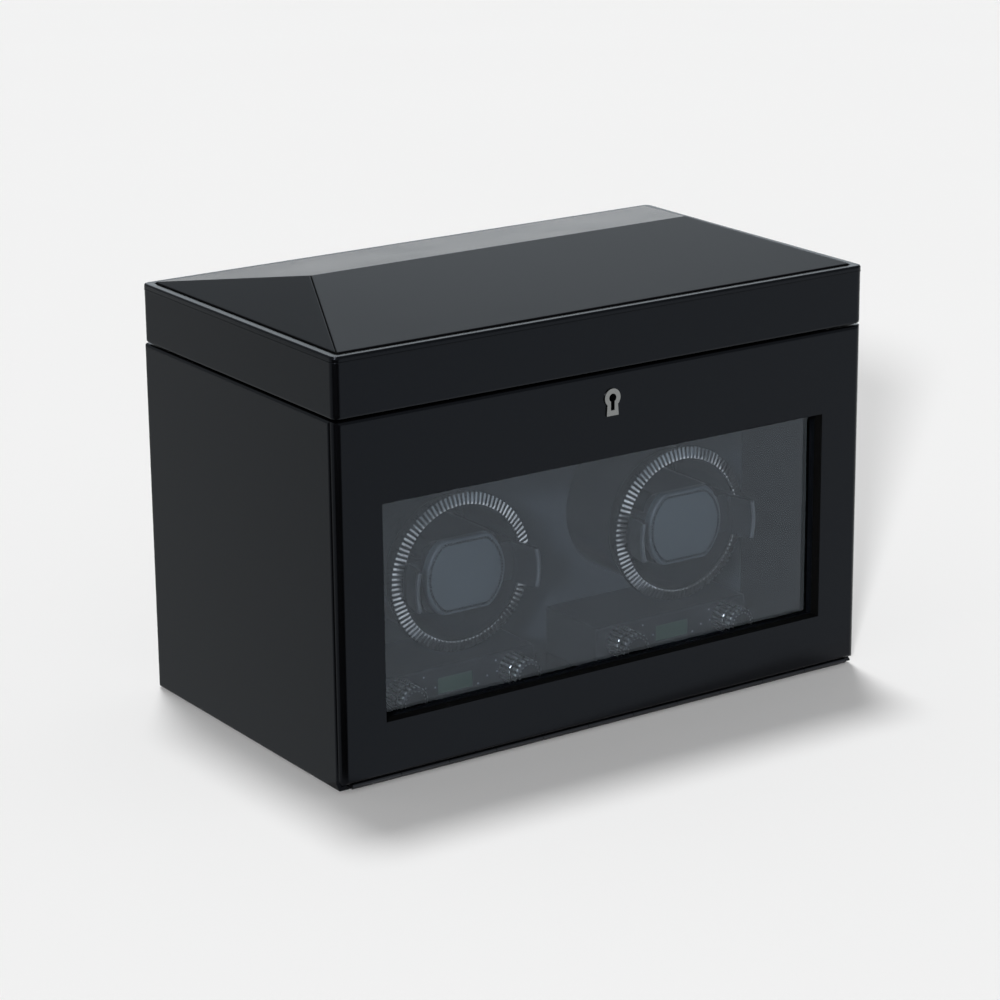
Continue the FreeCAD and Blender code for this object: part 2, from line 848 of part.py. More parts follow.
def make_lid_hinges():
    lower = []
    upper = []
    pins = []
    for side, sign in SIDES.items():
        lower.append(lid_leaf(f"lid_hinge_low_{side}", sign, s.body_height - s.lid_leaf_thickness, (1,)))
        upper.append(lid_leaf(f"lid_hinge_high_{side}", sign, lid_low, (0, 2)))
        pins.append(rod(f"lid_pin_{side}", "X", hinge_middle(sign) - s.lid_hinge_length / 2, s.case_depth,
                        lid_axis_level, s.lid_pin_radius, s.lid_hinge_length))
    node(group("lid_hinges_low", lower), "lid_hinge_case_leaves")
    node(group("lid_hinges_high", upper), "lid_hinge_lid_leaves")
    node(group("lid_pins", pins), "lid_hinge_pins")


# Door
glass_half = window_half + s.glass_lap
glass_low = s.window_bottom - s.glass_lap
glass_tall = window_height + 2 * s.glass_lap


def keyhole(sketch):
    """A round keyhole with a straight slot below it."""
    half = s.slot_width / 2
    shoulder = root(s.key_radius * s.key_radius - half * half)
    return outline(sketch, [
        (-half, keyhole_level - s.slot_drop),
        (half, keyhole_level - s.slot_drop),
        (half, keyhole_level - shoulder, s.key_radius + shoulder),
        (-half, keyhole_level - shoulder),
    ])


def make_door_panel():
    body = new_body("door_panel")
    section = outline(new_sketch(body, "YZ_Plane", "door_section"), [
        (ZERO, door_low),
        (door_low - mitre_rise, door_low),
        (s.door_thickness, s.door_thickness + mitre_rise),
        (s.door_thickness, s.body_height),
        (ZERO, s.body_height),
    ])
    pad(body, section, s.case_width, symmetric=True)

    def is_level_edge(middle, along):
        return same(middle.y, ZERO) and same(abs(along.x), 1)

    round_edges(body, "door_round", s.edge_round, is_level_edge)
    corners = new_sketch(body, "XY_Plane", "door_corners", s.body_height)
    hollow = s.door_corner * (SQRT_HALF - 1)
    flat_half = half_width - s.door_corner
    outline(corners, [(flat_half, ZERO), (half_width, ZERO), (half_width, s.door_corner, hollow)])
    outline(corners, [(-half_width, ZERO), (-flat_half, ZERO, hollow), (-half_width, s.door_corner)])
    pocket(body, corners, s.body_height)
    side_rebate = s.tongue_width + s.tongue_clearance
    rebates = facing_sketch(body, "door_side_rebates", s.door_lip)
    for left in (-half_width, half_width - side_rebate):
        rectangle(rebates, left, ZERO, side_rebate, s.body_height)
    pocket(body, rebates, s.door_thickness - s.door_lip)
    pocket(body, rectangle(facing_sketch(body, "door_window"), -window_half, s.window_bottom,
                           2 * window_half, window_height))
    rebate = facing_sketch(body, "glass_rebate", s.door_thickness - s.glass_thickness)
    rectangle(rebate, -glass_half - s.glass_clearance, glass_low - s.glass_clearance,
              2 * (glass_half + s.glass_clearance), glass_tall + 2 * s.glass_clearance)
    pocket(body, rebate, s.glass_thickness)
    pocket(body, keyhole(facing_sketch(body, "door_keyhole")))
    recess = facing_sketch(body, "lock_recess", s.door_thickness - s.lock_recess)
    rectangle(recess, -s.lock_width / 2, lock_top - s.lock_height, s.lock_width, s.lock_height)
    pocket(body, recess, s.lock_recess)
    slot = new_sketch(body, "XY_Plane", "door_bolt_slot", s.body_height)
    bolt_slot(slot, bolt_front)
    pocket(body, slot, s.lock_drop)
    seats = facing_sketch(body, "door_magnet_seats", s.door_thickness - s.magnet_thickness)
    for sign in SIDES.values():
        circle(seats, sign * magnet_out, s.body_height - s.magnet_drop, s.magnet_radius)
    pocket(body, seats, s.magnet_thickness)
    node(body, "door_panel")


def make_glazing():
    """The pane lies in the rebate of the door, and a flat frame behind it holds it there."""
    node(block("door_glass_pane", -glass_half, s.door_thickness - s.glass_thickness, glass_low,
               2 * glass_half, s.glass_thickness, glass_tall), "door_glass")
    body = new_body("glass_frame", ZERO, s.door_thickness)
    ring = facing_sketch(body, "glass_frame_ring")
    rectangle(ring, -glass_half - s.frame_border, glass_low - s.frame_border,
              2 * (glass_half + s.frame_border), glass_tall + 2 * s.frame_border)
    pad(body, ring, s.frame_thickness, reverse=True)
    pocket(body, rectangle(facing_sketch(body, "glass_frame_opening"), -window_half, s.window_bottom,
                           2 * window_half, window_height))
    node(body, "glass_frame")


def make_escutcheon():
    body = new_body("escutcheon")
    neck = s.escutcheon_neck / 2
    foot = s.escutcheon_foot / 2
    shoulder = root(s.escutcheon_radius * s.escutcheon_radius - neck * neck)
    plate = outline(facing_sketch(body, "escutcheon_plate"), [
        (-foot, keyhole_level - s.escutcheon_drop),
        (foot, keyhole_level - s.escutcheon_drop),
        (neck, keyhole_level - shoulder, s.escutcheon_radius + shoulder),
        (-neck, keyhole_level - shoulder),
    ])
    pad(body, plate, s.escutcheon_proud)
    pocket(body, keyhole(facing_sketch(body, "escutcheon_keyhole")), reverse=True)
    node(body, "escutcheon")


def bolt_slot(sketch, front):
    """The plan of the slot that the lock bolt slides in, through the lock and the door's top edge."""
    room = s.bolt_clearance
    return rectangle(sketch, -s.bolt_width / 2 - room, front - room,
                     s.bolt_width + 2 * room, s.bolt_thickness + 2 * room)


def bolt_room(name, low, height):
    """The room that the lock bolt shoots into, in the strike plate and the lid."""
    room = s.bolt_clearance
    return block(name, -s.bolt_width / 2 - room, bolt_front - room, low,
                 s.bolt_width + 2 * room, s.bolt_thickness + 2 * room, height)


def make_lock():
    bolt_low = lock_top - s.bolt_height
    body = new_body("lock_case", ZERO, s.door_thickness - s.lock_recess)
    shell = facing_sketch(body, "lock_shell")
    rectangle(shell, -s.lock_width / 2, lock_top - s.lock_height, s.lock_width, s.lock_height)
    pad(body, shell, s.lock_depth, reverse=True)
    pocket(body, keyhole(facing_sketch(body, "lock_keyway")), s.keyway_depth)
    slot = new_sketch(body, "XY_Plane", "lock_slot", lock_top)
    bolt_slot(slot, s.bolt_setback)
    pocket(body, slot, s.bolt_height)
    node(body, "lock_case")
    node(block("lock_bolt_bar", -s.bolt_width / 2, bolt_front, bolt_low,
               s.bolt_width, s.bolt_thickness, s.bolt_height), "lock_bolt")


def make_magnets():
    fronts = {"door_magnets": s.door_thickness - s.magnet_thickness, "case_magnets": case_front}
    for label, front in fronts.items():
        pair = [
            rod(f"{label}_{side}", "Y", sign * magnet_out, front,
                s.body_height - s.magnet_drop, s.magnet_radius, s.magnet_thickness)
            for side, sign in SIDES.items()
        ]
        node(group(f"{label}_pair", pair), label)


# Door hinge, one long hinge in the mitre under the door
door_hinge_left = -half_width + s.hinge_margin
door_hinge_length = s.case_width - 2 * s.hinge_margin


def mitre_block(name, left, length, start, reach, lift):
    """A strip of sheet in the mitre: start and reach go along it from the pin, lift goes across it."""
    return block(name, left, s.hinge_inset + (start - lift) * SQRT_HALF,
                 s.hinge_inset + (start + lift) * SQRT_HALF, length, reach, s.leaf_thickness, MITRE_TURN)


def door_leaf(name, lift, first):
    """A leaf of the door hinge; every second knuckle from the first is its own."""
    pitch = door_hinge_length / s.knuckle_count
    solids = [mitre_block(f"{name}_plate", door_hinge_left, door_hinge_length,
                          barrel_room, s.leaf_reach, lift)]
    for number in range(first, DRIVING_SIZES["knuckle_count"], 2):
        left = door_hinge_left + number * pitch + s.knuckle_gap / 2
        length = pitch - s.knuckle_gap
        solids.append(mitre_block(f"{name}_web_{number}", left, length, ZERO, barrel_room, lift))
        solids.append(rod(f"{name}_knuckle_{number}", "X", left, s.hinge_inset, s.hinge_inset,
                          s.knuckle_radius, length))
    bore = rod(f"{name}_bore", "X", door_hinge_left, s.hinge_inset, s.hinge_inset,
               s.pin_radius + s.running_fit, door_hinge_length)
    return cut(f"{name}_cut", fuse(f"{name}_blank", solids), [bore])


def make_door_hinge():
    node(door_leaf("case_leaf", -s.mitre_gap / 2, 0), "door_hinge_case_leaf")
    node(door_leaf("door_leaf", s.mitre_gap / 2 - s.leaf_thickness, 1), "door_hinge_door_leaf")
    node(rod("door_pin", "X", door_hinge_left, s.hinge_inset, s.hinge_inset, s.pin_radius,
             door_hinge_length), "door_hinge_pin")


# Winders
drum_front = s.bezel_front + s.bezel_lip
drum_bore = s.drum_radius - s.drum_wall
drum_back = drum_front + s.drum_length
drum_seat = drum_back - s.drum_floor
bezel_bore = s.drum_radius + s.push_fit
sleeve_radius = bezel_bore + s.bezel_wall
bezel_radius = sleeve_radius + s.bezel_brim
cone_mouth = drum_bore + s.mouth_land
ear_root = s.bezel_front - s.ear_lead
cuff_reach = drum_bore - s.cuff_clearance
shaft_end = pulley_back + s.pulley_cheek


def flute_bars():
    """V bars that lie along the cone of a bezel, one for each of its flutes."""
    run = (bezel_radius - cone_mouth).value
    rise = s.bezel_rise.value
    depth = s.flute_depth.value
    along = FreeCAD.Vector(run, rise, 0).normalize()
    outward = FreeCAD.Vector(rise, -run, 0).normalize()
    start = FreeCAD.Vector(cone_mouth.value, s.bezel_front.value, 0) - along * FLUTE_OVERRUN
    across = FreeCAD.Vector(0, 0, s.flute_width.value / 2 * (1 + FLUTE_LIFT / depth))
    rim = start + outward * FLUTE_LIFT
    corners = [rim + across, rim - across, start - outward * depth]
    section = Part.Face(Part.makePolygon(corners + corners[:1]))
    bar = section.extrude(along * (math.hypot(run, rise) + 2 * FLUTE_OVERRUN))
    count = int(s.flute_count.value)
    bars = [bar.copy() for index in range(count)]
    for index, copy in enumerate(bars):
        copy.rotate(FreeCAD.Vector(), FreeCAD.Vector(0, 1, 0), index * FULL_TURN / count)
    return bars


def make_bezel(side, middle):
    """A ring pushed over the front of the drum; its lip covers the drum's edge, its cone is fluted."""
    front = s.bezel_front
    back = front + s.bezel_length
    section = [
        (drum_bore, front),
        (cone_mouth, front),
        (bezel_radius, front + s.bezel_rise),
        (bezel_radius, front + s.bezel_flange),
        (sleeve_radius, front + s.bezel_flange),
        (sleeve_radius, back),
        (bezel_bore, back),
        (bezel_bore, front + s.bezel_lip),
        (drum_bore, front + s.bezel_lip),
    ]
    corners = [FreeCAD.Vector(radius.value, y.value, 0) for radius, y in section]
    blank = Part.Face(Part.makePolygon(corners + corners[:1]))
    ring = blank.revolve(FreeCAD.Vector(), FreeCAD.Vector(0, 1, 0), FULL_TURN)
    thing = doc.addObject("Part::Feature", f"bezel_{side}")
    thing.Shape = ring.cut(flute_bars())
    place_shape(thing, middle, ZERO, rotor_level)
    node(thing, f"bezel_{side}")


def make_rotor(side, middle):
    make_bezel(side, middle)
    drum = turned(f"drum_{side}", middle, rotor_level, [
        (drum_front, drum_bore),
        (drum_seat, drum_bore),
        (drum_seat, s.shaft_radius),
        (drum_back, s.shaft_radius),
        (drum_back, s.drum_radius),
        (drum_front, s.drum_radius),
    ])
    shaft = turned(f"rotor_shaft_{side}", middle, rotor_level, [
        (drum_seat - s.shaft_flange, ZERO),
        (shaft_end, ZERO),
        (shaft_end, s.shaft_radius),
        (drum_seat, s.shaft_radius),
        (drum_seat, s.shaft_flange_radius),
        (drum_seat - s.shaft_flange, s.shaft_flange_radius),
    ])
    pulley = turned(f"drum_pulley_{side}", middle, rotor_level,
                    pulley_section(s.drum_pulley_radius, s.shaft_radius))
    for piece in (drum, shaft, pulley):
        node(piece, piece.Name)
    make_cuff(side, middle)
    make_cuff_pad(side, middle)


def pulley_section(radius, bore):
    """A belt pulley: a flat between two cheeks."""
    rim = radius + s.pulley_flange
    return [
        (pulley_front, bore),
        (pulley_back, bore),
        (pulley_back, rim),
        (pulley_back - s.pulley_cheek, rim),
        (pulley_back - s.pulley_cheek, radius),
        (pulley_front + s.pulley_cheek, radius),
        (pulley_front + s.pulley_cheek, rim),
        (pulley_front, rim),
    ]


def ear_band(sketch, sign, reach):
    """The section of an ear: a strip along the inside of a circle, level above and below."""
    half = s.ear_height / 2
    inner = reach - s.ear_thickness
    edge = root(reach * reach - half * half)
    inner_edge = root(inner * inner - half * half)
    return outline(sketch, [
        (sign * inner_edge, -sign * half),
        (sign * edge, -sign * half, reach - edge),
        (sign * edge, sign * half),
        (sign * inner_edge, sign * half, inner_edge - inner),
    ])


def make_cuff(side, middle):
    """The cuff that a strap goes round: a core, an arm on each side that fits the drum, and two ears
    that flare out in front of the bezel."""
    name = f"cuff_frame_{side}"
    body = new_body(name, middle, ZERO, rotor_level)
    core = facing_sketch(body, f"{name}_core", s.cuff_front)
    rectangle(core, -s.cuff_width / 2, -s.cuff_height / 2, s.cuff_width, s.cuff_height)
    pad(body, core, s.cuff_length, reverse=True)
    round_edges(body, f"{name}_round", s.cuff_corner, lambda spot, along: abs(along.y) > SQRT_HALF)
    arms = facing_sketch(body, f"{name}_arms", s.cuff_front)
    ears = facing_sketch(body, f"{name}_ears", ear_root)
    half = s.ear_height / 2
    arm_root = s.cuff_width / 2 - s.ear_thickness
    edge = root(cuff_reach * cuff_reach - half * half)
    for sign in SIDES.values():
        outline(arms, [(sign * arm_root, -sign * half), (sign * edge, -sign * half, cuff_reach - edge),
                       (sign * edge, sign * half), (sign * arm_root, sign * half)])
        ear_band(ears, sign, cuff_reach)
    pad(body, arms, drum_seat - s.cuff_front, reverse=True)
    pad(body, ears, s.cuff_front - ear_root, reverse=True)
    for label, sign in SIDES.items():
        flare = body.newObject("PartDesign::AdditiveLoft", f"{name}_{label}_flare")
        neck = facing_sketch(body, f"{name}_{label}_neck", ear_root)
        tip = facing_sketch(body, f"{name}_{label}_tip", s.ear_front)
        flare.Profile = ear_band(neck, sign, cuff_reach)
        flare.Sections = [(ear_band(tip, sign, cuff_reach + s.ear_flare), [""])]
        flare.Ruled = True
    node(body, name)


def pad_ring(inset, level):
    """A barrel outline: flat above and below, bowed at the sides."""
    half_w = (s.pad_width / 2).value - inset
    half_h = (s.pad_height / 2).value - inset
    flat = (s.pad_edge / 2).value - inset / 2
    return front_loop([
        (FreeCAD.Vector(flat, level, -half_h), FreeCAD.Vector(half_w, level, 0)),
        (FreeCAD.Vector(flat, level, half_h),),
        (FreeCAD.Vector(-flat, level, half_h), FreeCAD.Vector(-half_w, level, 0)),
        (FreeCAD.Vector(-flat, level, -half_h),),
    ])


def make_cuff_pad(side, middle):
    """The soft pad on the front of the cuff, crowned towards the glass."""
    front = s.pad_front.value
    thick = (s.cuff_front - s.pad_front).value
    rings = [pad_ring(thick * inset, front + thick * level) for inset, level in PAD_RINGS]
    thing = doc.addObject("Part::Feature", f"cuff_pad_{side}")
    thing.Shape = Part.makeLoft(rings, True)
    place_shape(thing, middle, ZERO, rotor_level)
    node(thing, f"cuff_pad_{side}")


# Drive behind the backboard
def make_gearbox(side, middle):
    low = s.base_thickness
    shell = block(f"gearbox_shell_{side}", middle - s.gearbox_width / 2, backboard_back, low,
                  s.gearbox_width, s.gearbox_depth, gearbox_height)
    room = block(f"gearbox_room_{side}", middle - s.gearbox_width / 2 + s.gearbox_wall,
                 backboard_back + s.gearbox_wall, low + s.gearbox_wall,
                 s.gearbox_width - 2 * s.gearbox_wall, s.gearbox_depth - s.gearbox_wall,
                 gearbox_height - 2 * s.gearbox_wall)
    boss = rod(f"gearbox_boss_{side}", "Y", middle, backboard_back, rotor_level,
               s.bush_radius + s.boss_wall, s.bush_length)
    hole = rod(f"gearbox_hole_{side}", "Y", middle, backboard_back, rotor_level,
               s.bush_radius, s.bush_length)
    hollow = cut(f"gearbox_hollow_{side}", shell, [room])
    blank = fuse(f"gearbox_blank_{side}", [hollow, boss])
    node(cut(f"gearbox_cut_{side}", blank, [hole]), f"gearbox_{side}")


def make_cover(side, middle):
    """The back of a gearbox, with a cup that holds the motor."""
    plate = block(f"cover_plate_{side}", middle - s.gearbox_width / 2, gearbox_back, s.base_thickness,
                  s.gearbox_width, s.cover_thickness, gearbox_height)
    cup = rod(f"cover_cup_{side}", "Y", middle, gearbox_back - s.motor_cup_depth, motor_level,
              s.motor_radius + s.push_fit + s.motor_cup_wall, s.motor_cup_depth)
    bore = rod(f"cover_bore_{side}", "Y", middle, gearbox_back - s.motor_cup_depth, motor_level,
               s.motor_radius + s.push_fit, s.motor_cup_depth)
    return cut(f"cover_{side}", fuse(f"cover_blank_{side}", [plate, cup]), [bore])


def make_bush(side, middle):
    bore = s.shaft_radius + s.running_fit
    return turned(f"bush_{side}", middle, rotor_level, [
        (backboard_back - s.bush_flange, bore),
        (backboard_back + s.bush_length, bore),
        (backboard_back + s.bush_length, s.bush_radius),
        (backboard_back, s.bush_radius),
        (backboard_back, s.bush_flange_radius),
        (backboard_back - s.bush_flange, s.bush_flange_radius),
    ])


def make_motor(side, middle):
    bore = s.motor_shaft_radius + s.running_fit
    bore_end = motor_front + s.motor_shaft_engaged + s.pulley_cheek
    return turned(f"motor_{side}", middle, motor_level, [
        (motor_front - s.motor_nose, bore),
        (bore_end, bore),
        (bore_end, ZERO),
        (gearbox_back, ZERO),
        (gearbox_back, s.motor_radius),
        (motor_front, s.motor_radius),
        (motor_front, s.motor_nose_radius),
        (motor_front - s.motor_nose, s.motor_nose_radius),
    ])


def make_motor_pulley(side, middle):
    """The small pulley with the motor's own shaft in it."""
    rim = s.motor_pulley_radius + s.pulley_flange
    shaft = s.motor_shaft_radius
    tail = motor_front + s.motor_shaft_engaged
    name = f"motor_pulley_{side}"
    pulley = turned(name, middle, motor_level, [
        (pulley_front - s.pulley_cheek, ZERO),
        (tail, ZERO),
        (tail, shaft),
        (pulley_back, shaft),
        (pulley_back, rim),
        (pulley_back - s.pulley_cheek, rim),
        (pulley_back - s.pulley_cheek, s.motor_pulley_radius),
        (pulley_front + s.pulley_cheek, s.motor_pulley_radius),
        (pulley_front + s.pulley_cheek, rim),
        (pulley_front, rim),
        (pulley_front, shaft),
        (pulley_front - s.pulley_cheek, shaft),
    ])
    node(pulley, name)


def belt_loop(grow):
    """The line of a belt round both pulleys, a distance outside their flats."""
    big = s.drum_pulley_radius.value + grow
    small = s.motor_pulley_radius.value + grow
    drop = s.motor_drop.value
    lean = math.asin((big - small) / drop)
    across = math.cos(lean)
    down = -math.sin(lean)
    right_high = FreeCAD.Vector(big * across, 0, big * down)
    right_low = FreeCAD.Vector(small * across, 0, small * down - drop)
    left_high = FreeCAD.Vector(-right_high.x, 0, right_high.z)
    left_low = FreeCAD.Vector(-right_low.x, 0, right_low.z)
    return front_loop([
        (right_high, FreeCAD.Vector(0, 0, big)),
        (left_high,),
        (left_low, FreeCAD.Vector(0, 0, -drop - small)),
        (right_low,),
    ])


def make_belt(side, middle):
    inside = s.belt_clearance.value
    face = Part.Face(belt_loop(inside + s.belt_thickness.value)).cut(Part.Face(belt_loop(inside)))
    front = pulley_front + s.pulley_cheek + s.belt_slack
    width = s.pulley_width - 2 * (s.pulley_cheek + s.belt_slack)
    face.translate(FreeCAD.Vector(0, front.value, 0))
    thing = doc.addObject("Part::Feature", f"belt_{side}")
    thing.Shape = face.extrude(FreeCAD.Vector(0, width.value, 0))
    return place_shape(thing, middle, ZERO, rotor_level)


# Controls
def make_control_box(side, middle):
    """The moulded cover in front of the controls, open below and behind."""
    name = f"control_box_{side}"
    body = new_body(name, middle, ZERO, s.base_thickness)
    depth = s.backboard_front - s.control_front
    section = new_sketch(body, "YZ_Plane", f"{name}_section")
    rectangle(section, s.control_front, ZERO, depth, s.control_height)
    pad(body, section, s.control_width, symmetric=True)

    def is_show_edge(spot, along):
        front = same(spot.y, s.control_front) and spot.z > (s.control_wall).value
        top = same(spot.z, s.control_height) and not same(spot.y, s.backboard_front)
        return front or top

    round_edges(body, f"{name}_round", s.control_round, is_show_edge)
    room = facing_sketch(body, f"{name}_room", control_back_of_face)
    rectangle(room, -s.control_width / 2 + s.control_wall, ZERO,
              s.control_width - 2 * s.control_wall, s.control_height - s.control_wall)
    pocket(body, room)
    window = facing_sketch(body, f"{name}_window", s.control_front)
    rectangle(window, -s.display_width / 2 - s.push_fit,
              s.display_rise - s.display_height / 2 - s.push_fit,
              s.display_width + 2 * s.push_fit, s.display_height + 2 * s.push_fit)
    pocket(body, window, s.control_wall)
    holes = facing_sketch(body, f"{name}_holes", s.control_front)
    for sign in SIDES.values():
        circle(holes, sign * knob_offset, s.knob_rise,
               s.knob_shaft_radius + s.knob_clearance)
    pocket(body, holes, s.control_wall)
    node(body, name)


def make_display(side, middle):
    return block(f"display_{side}", middle - s.display_width / 2, s.control_front + s.display_inset,
                 display_level - s.display_height / 2,
                 s.display_width, s.display_thickness, s.display_height)


def make_board(side, middle):
    width = s.control_width - 2 * (s.control_wall + s.board_side_gap)
    height = s.control_height - s.control_wall - s.board_top_gap - s.board_rise
    return block(f"board_{side}", middle - width / 2, control_back_of_face + s.switch_depth,
                 s.base_thickness + s.board_rise, width, s.board_thickness, height)


def make_switch(name, x):
    half = s.switch_size / 2
    body = block(f"{name}_body", x - half, control_back_of_face, knob_level - half,
                 s.switch_size, s.switch_depth, s.switch_size)
    bore = rod(f"{name}_bore", "Y", x, control_back_of_face, knob_level,
               s.knob_shaft_radius + s.running_fit, s.switch_depth)
    return cut(name, body, [bore])


def make_knob(label, x):
    """A fluted knob, its grip split by a groove, on the shaft that turns the switch."""
    back = (s.control_front - s.knob_clearance).value
    front = back - s.knob_length.value
    face = s.knob_face.value
    radius = s.knob_radius.value
    depth = s.knob_flute_depth.value
    flutes = int(s.knob_flutes.value)
    core = radius - 2 * depth
    split = front + face + s.knob_front_band.value
    rest = split + s.knob_groove.value
    shaft_end_y = (control_back_of_face + s.switch_depth - s.knob_clearance).value
    axis = FreeCAD.Vector(0, 1, 0)
    cap = Part.makeCone(core - face, core, face, FreeCAD.Vector(0, front, 0), axis)
    grips = [
        fluted_bar(radius, depth, flutes, front + face, s.knob_front_band.value),
        disc(core, split, rest - split),
        fluted_bar(radius, depth, flutes, rest, back - rest),
        disc(s.knob_shaft_radius.value, back, shaft_end_y - back),
    ]
    thing = doc.addObject("Part::Feature", label)
    thing.Shape = cap.multiFuse(grips)
    place_shape(thing, x, ZERO, knob_level)
    node(thing, label)


# Power
def make_inlet():
    """The round socket for a low-voltage plug, with its centre pin."""
    mouth = s.case_depth + s.inlet_flange
    floor = mouth - s.inlet_bore_depth
    socket = turned("power_inlet", ZERO, s.inlet_level, [
        (inlet_inner_end, ZERO),
        (s.case_depth, ZERO),
        (s.case_depth, s.inlet_pin_radius),
        (floor, s.inlet_pin_radius),
        (floor, s.inlet_bore_radius),
        (mouth, s.inlet_bore_radius),
        (mouth, s.inlet_flange_radius),
        (s.case_depth, s.inlet_flange_radius),
        (s.case_depth, s.inlet_radius),
        (inlet_inner_end, s.inlet_radius),
    ])
    node(socket, "power_inlet")


def make_lead(side, sign):
    """A lead inside the case, from the inlet to the cover of one gearbox, with two round bends."""
    start_x = (sign * s.lead_spacing / 2).value
    end_x = (sign * winder_offset).value
    start_y = inlet_inner_end.value
    end_y = cover_back.value
    run_y = (start_y + end_y) / 2
    bend = s.lead_bend.value
    inner = bend * (1 - SQRT_HALF)
    first = [
        FreeCAD.Vector(start_x, run_y + bend, 0),
        FreeCAD.Vector(start_x + sign * inner, run_y + inner, 0),
        FreeCAD.Vector(start_x + sign * bend, run_y, 0),
    ]
    second = [
        FreeCAD.Vector(end_x - sign * bend, run_y, 0),
        FreeCAD.Vector(end_x - sign * inner, run_y - inner, 0),
        FreeCAD.Vector(end_x, run_y - bend, 0),
    ]
    begin = FreeCAD.Vector(start_x, start_y, 0)
    finish = FreeCAD.Vector(end_x, end_y, 0)
    path = Part.Wire([
        Part.LineSegment(begin, first[0]).toShape(),
        Part.Arc(*first).toShape(),
        Part.LineSegment(first[2], second[0]).toShape(),
        Part.Arc(*second).toShape(),
        Part.LineSegment(second[2], finish).toShape(),
    ])
    section = Part.Wire(Part.makeCircle(s.lead_radius.value, begin, FreeCAD.Vector(0, 1, 0)))
    thing = doc.addObject("Part::Feature", f"lead_{side}")
    thing.Shape = path.makePipeShell([section], True, False)
    return place_shape(thing, ZERO, ZERO, s.inlet_level)


def make_winders():
    groups = {"rotor_bushes": [], "drive_motors": [], "drive_belts": [], "gearbox_covers": [],
              "control_boards": [], "selector_switches": [], "displays": [], "power_leads": []}
    for side, sign in SIDES.items():
        middle = sign * winder_offset
        make_rotor(side, middle)
        make_gearbox(side, middle)
        make_motor_pulley(side, middle)
        make_control_box(side, middle)
        groups["rotor_bushes"].append(make_bush(side, middle))
        groups["drive_motors"].append(make_motor(side, middle))
        groups["drive_belts"].append(make_belt(side, middle))
        groups["gearbox_covers"].append(make_cover(side, middle))
        groups["control_boards"].append(make_board(side, middle))
        groups["displays"].append(make_display(side, middle))
        groups["power_leads"].append(make_lead(side, sign))
        for place_name, offset in (("a", -knob_offset), ("b", knob_offset)):
            groups["selector_switches"].append(make_switch(f"switch_{side}_{place_name}", middle + offset))
            make_knob(f"knob_{side}_{place_name}", middle + offset)
    for label, pieces in groups.items():
        node(group(f"{label}_set", pieces), label)


def check_and_export():
    """Stop on any failed object or shape, then write one file per node."""
    doc.recompute()
    for thing in doc.Objects:
        if "Invalid" in thing.State or "Error" in thing.State:
            raise RuntimeError(f"{thing.Name} failed: {thing.State}")
    for label, thing in nodes.items():
        if thing.Shape.isNull() or not thing.Shape.isValid() or not thing.Shape.Solids:
            raise RuntimeError(f"{label} has no valid solid")
        if thing.Label != label:
            raise RuntimeError(f"{label} is already the name of another object")
    os.makedirs("parts", exist_ok=True)
    for label, thing in nodes.items():
        thing.Shape.exportStep(f"parts/{label}.step")
        print(label, len(thing.Shape.Solids), "solids", round(thing.Shape.Volume / 1000, 2), "cm3")
    print(len(nodes), "nodes")


make_base_board()
for side_name, side_sign in SIDES.items():
    make_side(side_name, side_sign)
make_back_panel()
make_feet()
make_backboard()
make_ledges()
make_tray()
make_cushions()
make_lid_frame()
make_lid_roof()
make_lid_liner()
make_lid_hinges()
make_door_panel()
make_glazing()
make_escutcheon()
make_lock()
make_magnets()
make_door_hinge()
make_winders()
make_inlet()
check_and_export()
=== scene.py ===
# %% [markdown]
# # A watch winder box
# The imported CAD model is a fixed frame: boards, hinges, drums, knobs and drive are all in it, each on
# the body that it moves with. This lesson dresses that frame. It gives every board and casting its
# finish, and it makes the pieces that a plain solid can't be: fluted bezels, knobs, stitched pads,
# stuffed cushions, the leatherette on the roof, seams, screws and wires.

# %% Load the frame
import json
import math
import bmesh
import bpy
import numpy as np
from mathutils import Euler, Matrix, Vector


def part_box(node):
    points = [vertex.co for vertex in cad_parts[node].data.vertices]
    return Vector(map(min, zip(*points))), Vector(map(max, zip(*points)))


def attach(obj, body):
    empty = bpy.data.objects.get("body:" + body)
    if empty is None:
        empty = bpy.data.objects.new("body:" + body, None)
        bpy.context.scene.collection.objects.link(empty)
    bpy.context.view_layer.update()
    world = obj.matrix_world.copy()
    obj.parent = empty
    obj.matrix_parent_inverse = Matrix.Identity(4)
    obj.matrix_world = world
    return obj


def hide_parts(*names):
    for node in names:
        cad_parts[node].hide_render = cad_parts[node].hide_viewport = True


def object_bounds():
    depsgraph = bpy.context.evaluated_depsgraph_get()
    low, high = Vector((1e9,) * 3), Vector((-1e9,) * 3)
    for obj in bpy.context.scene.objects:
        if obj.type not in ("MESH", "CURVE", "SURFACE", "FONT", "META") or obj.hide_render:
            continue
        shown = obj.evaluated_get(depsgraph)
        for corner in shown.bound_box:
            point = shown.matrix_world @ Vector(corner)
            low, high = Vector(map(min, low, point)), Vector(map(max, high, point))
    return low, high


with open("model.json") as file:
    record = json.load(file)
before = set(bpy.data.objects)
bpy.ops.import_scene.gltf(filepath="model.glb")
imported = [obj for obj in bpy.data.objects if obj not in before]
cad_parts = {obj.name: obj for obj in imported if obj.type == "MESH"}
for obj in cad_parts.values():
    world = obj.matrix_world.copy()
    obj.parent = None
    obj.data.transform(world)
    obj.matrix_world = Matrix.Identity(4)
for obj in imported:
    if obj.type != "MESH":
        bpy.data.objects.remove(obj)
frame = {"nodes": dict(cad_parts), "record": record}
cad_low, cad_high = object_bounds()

MM = 0.001
nodes = frame["nodes"]
SIDES = {"left": -1, "right": 1}

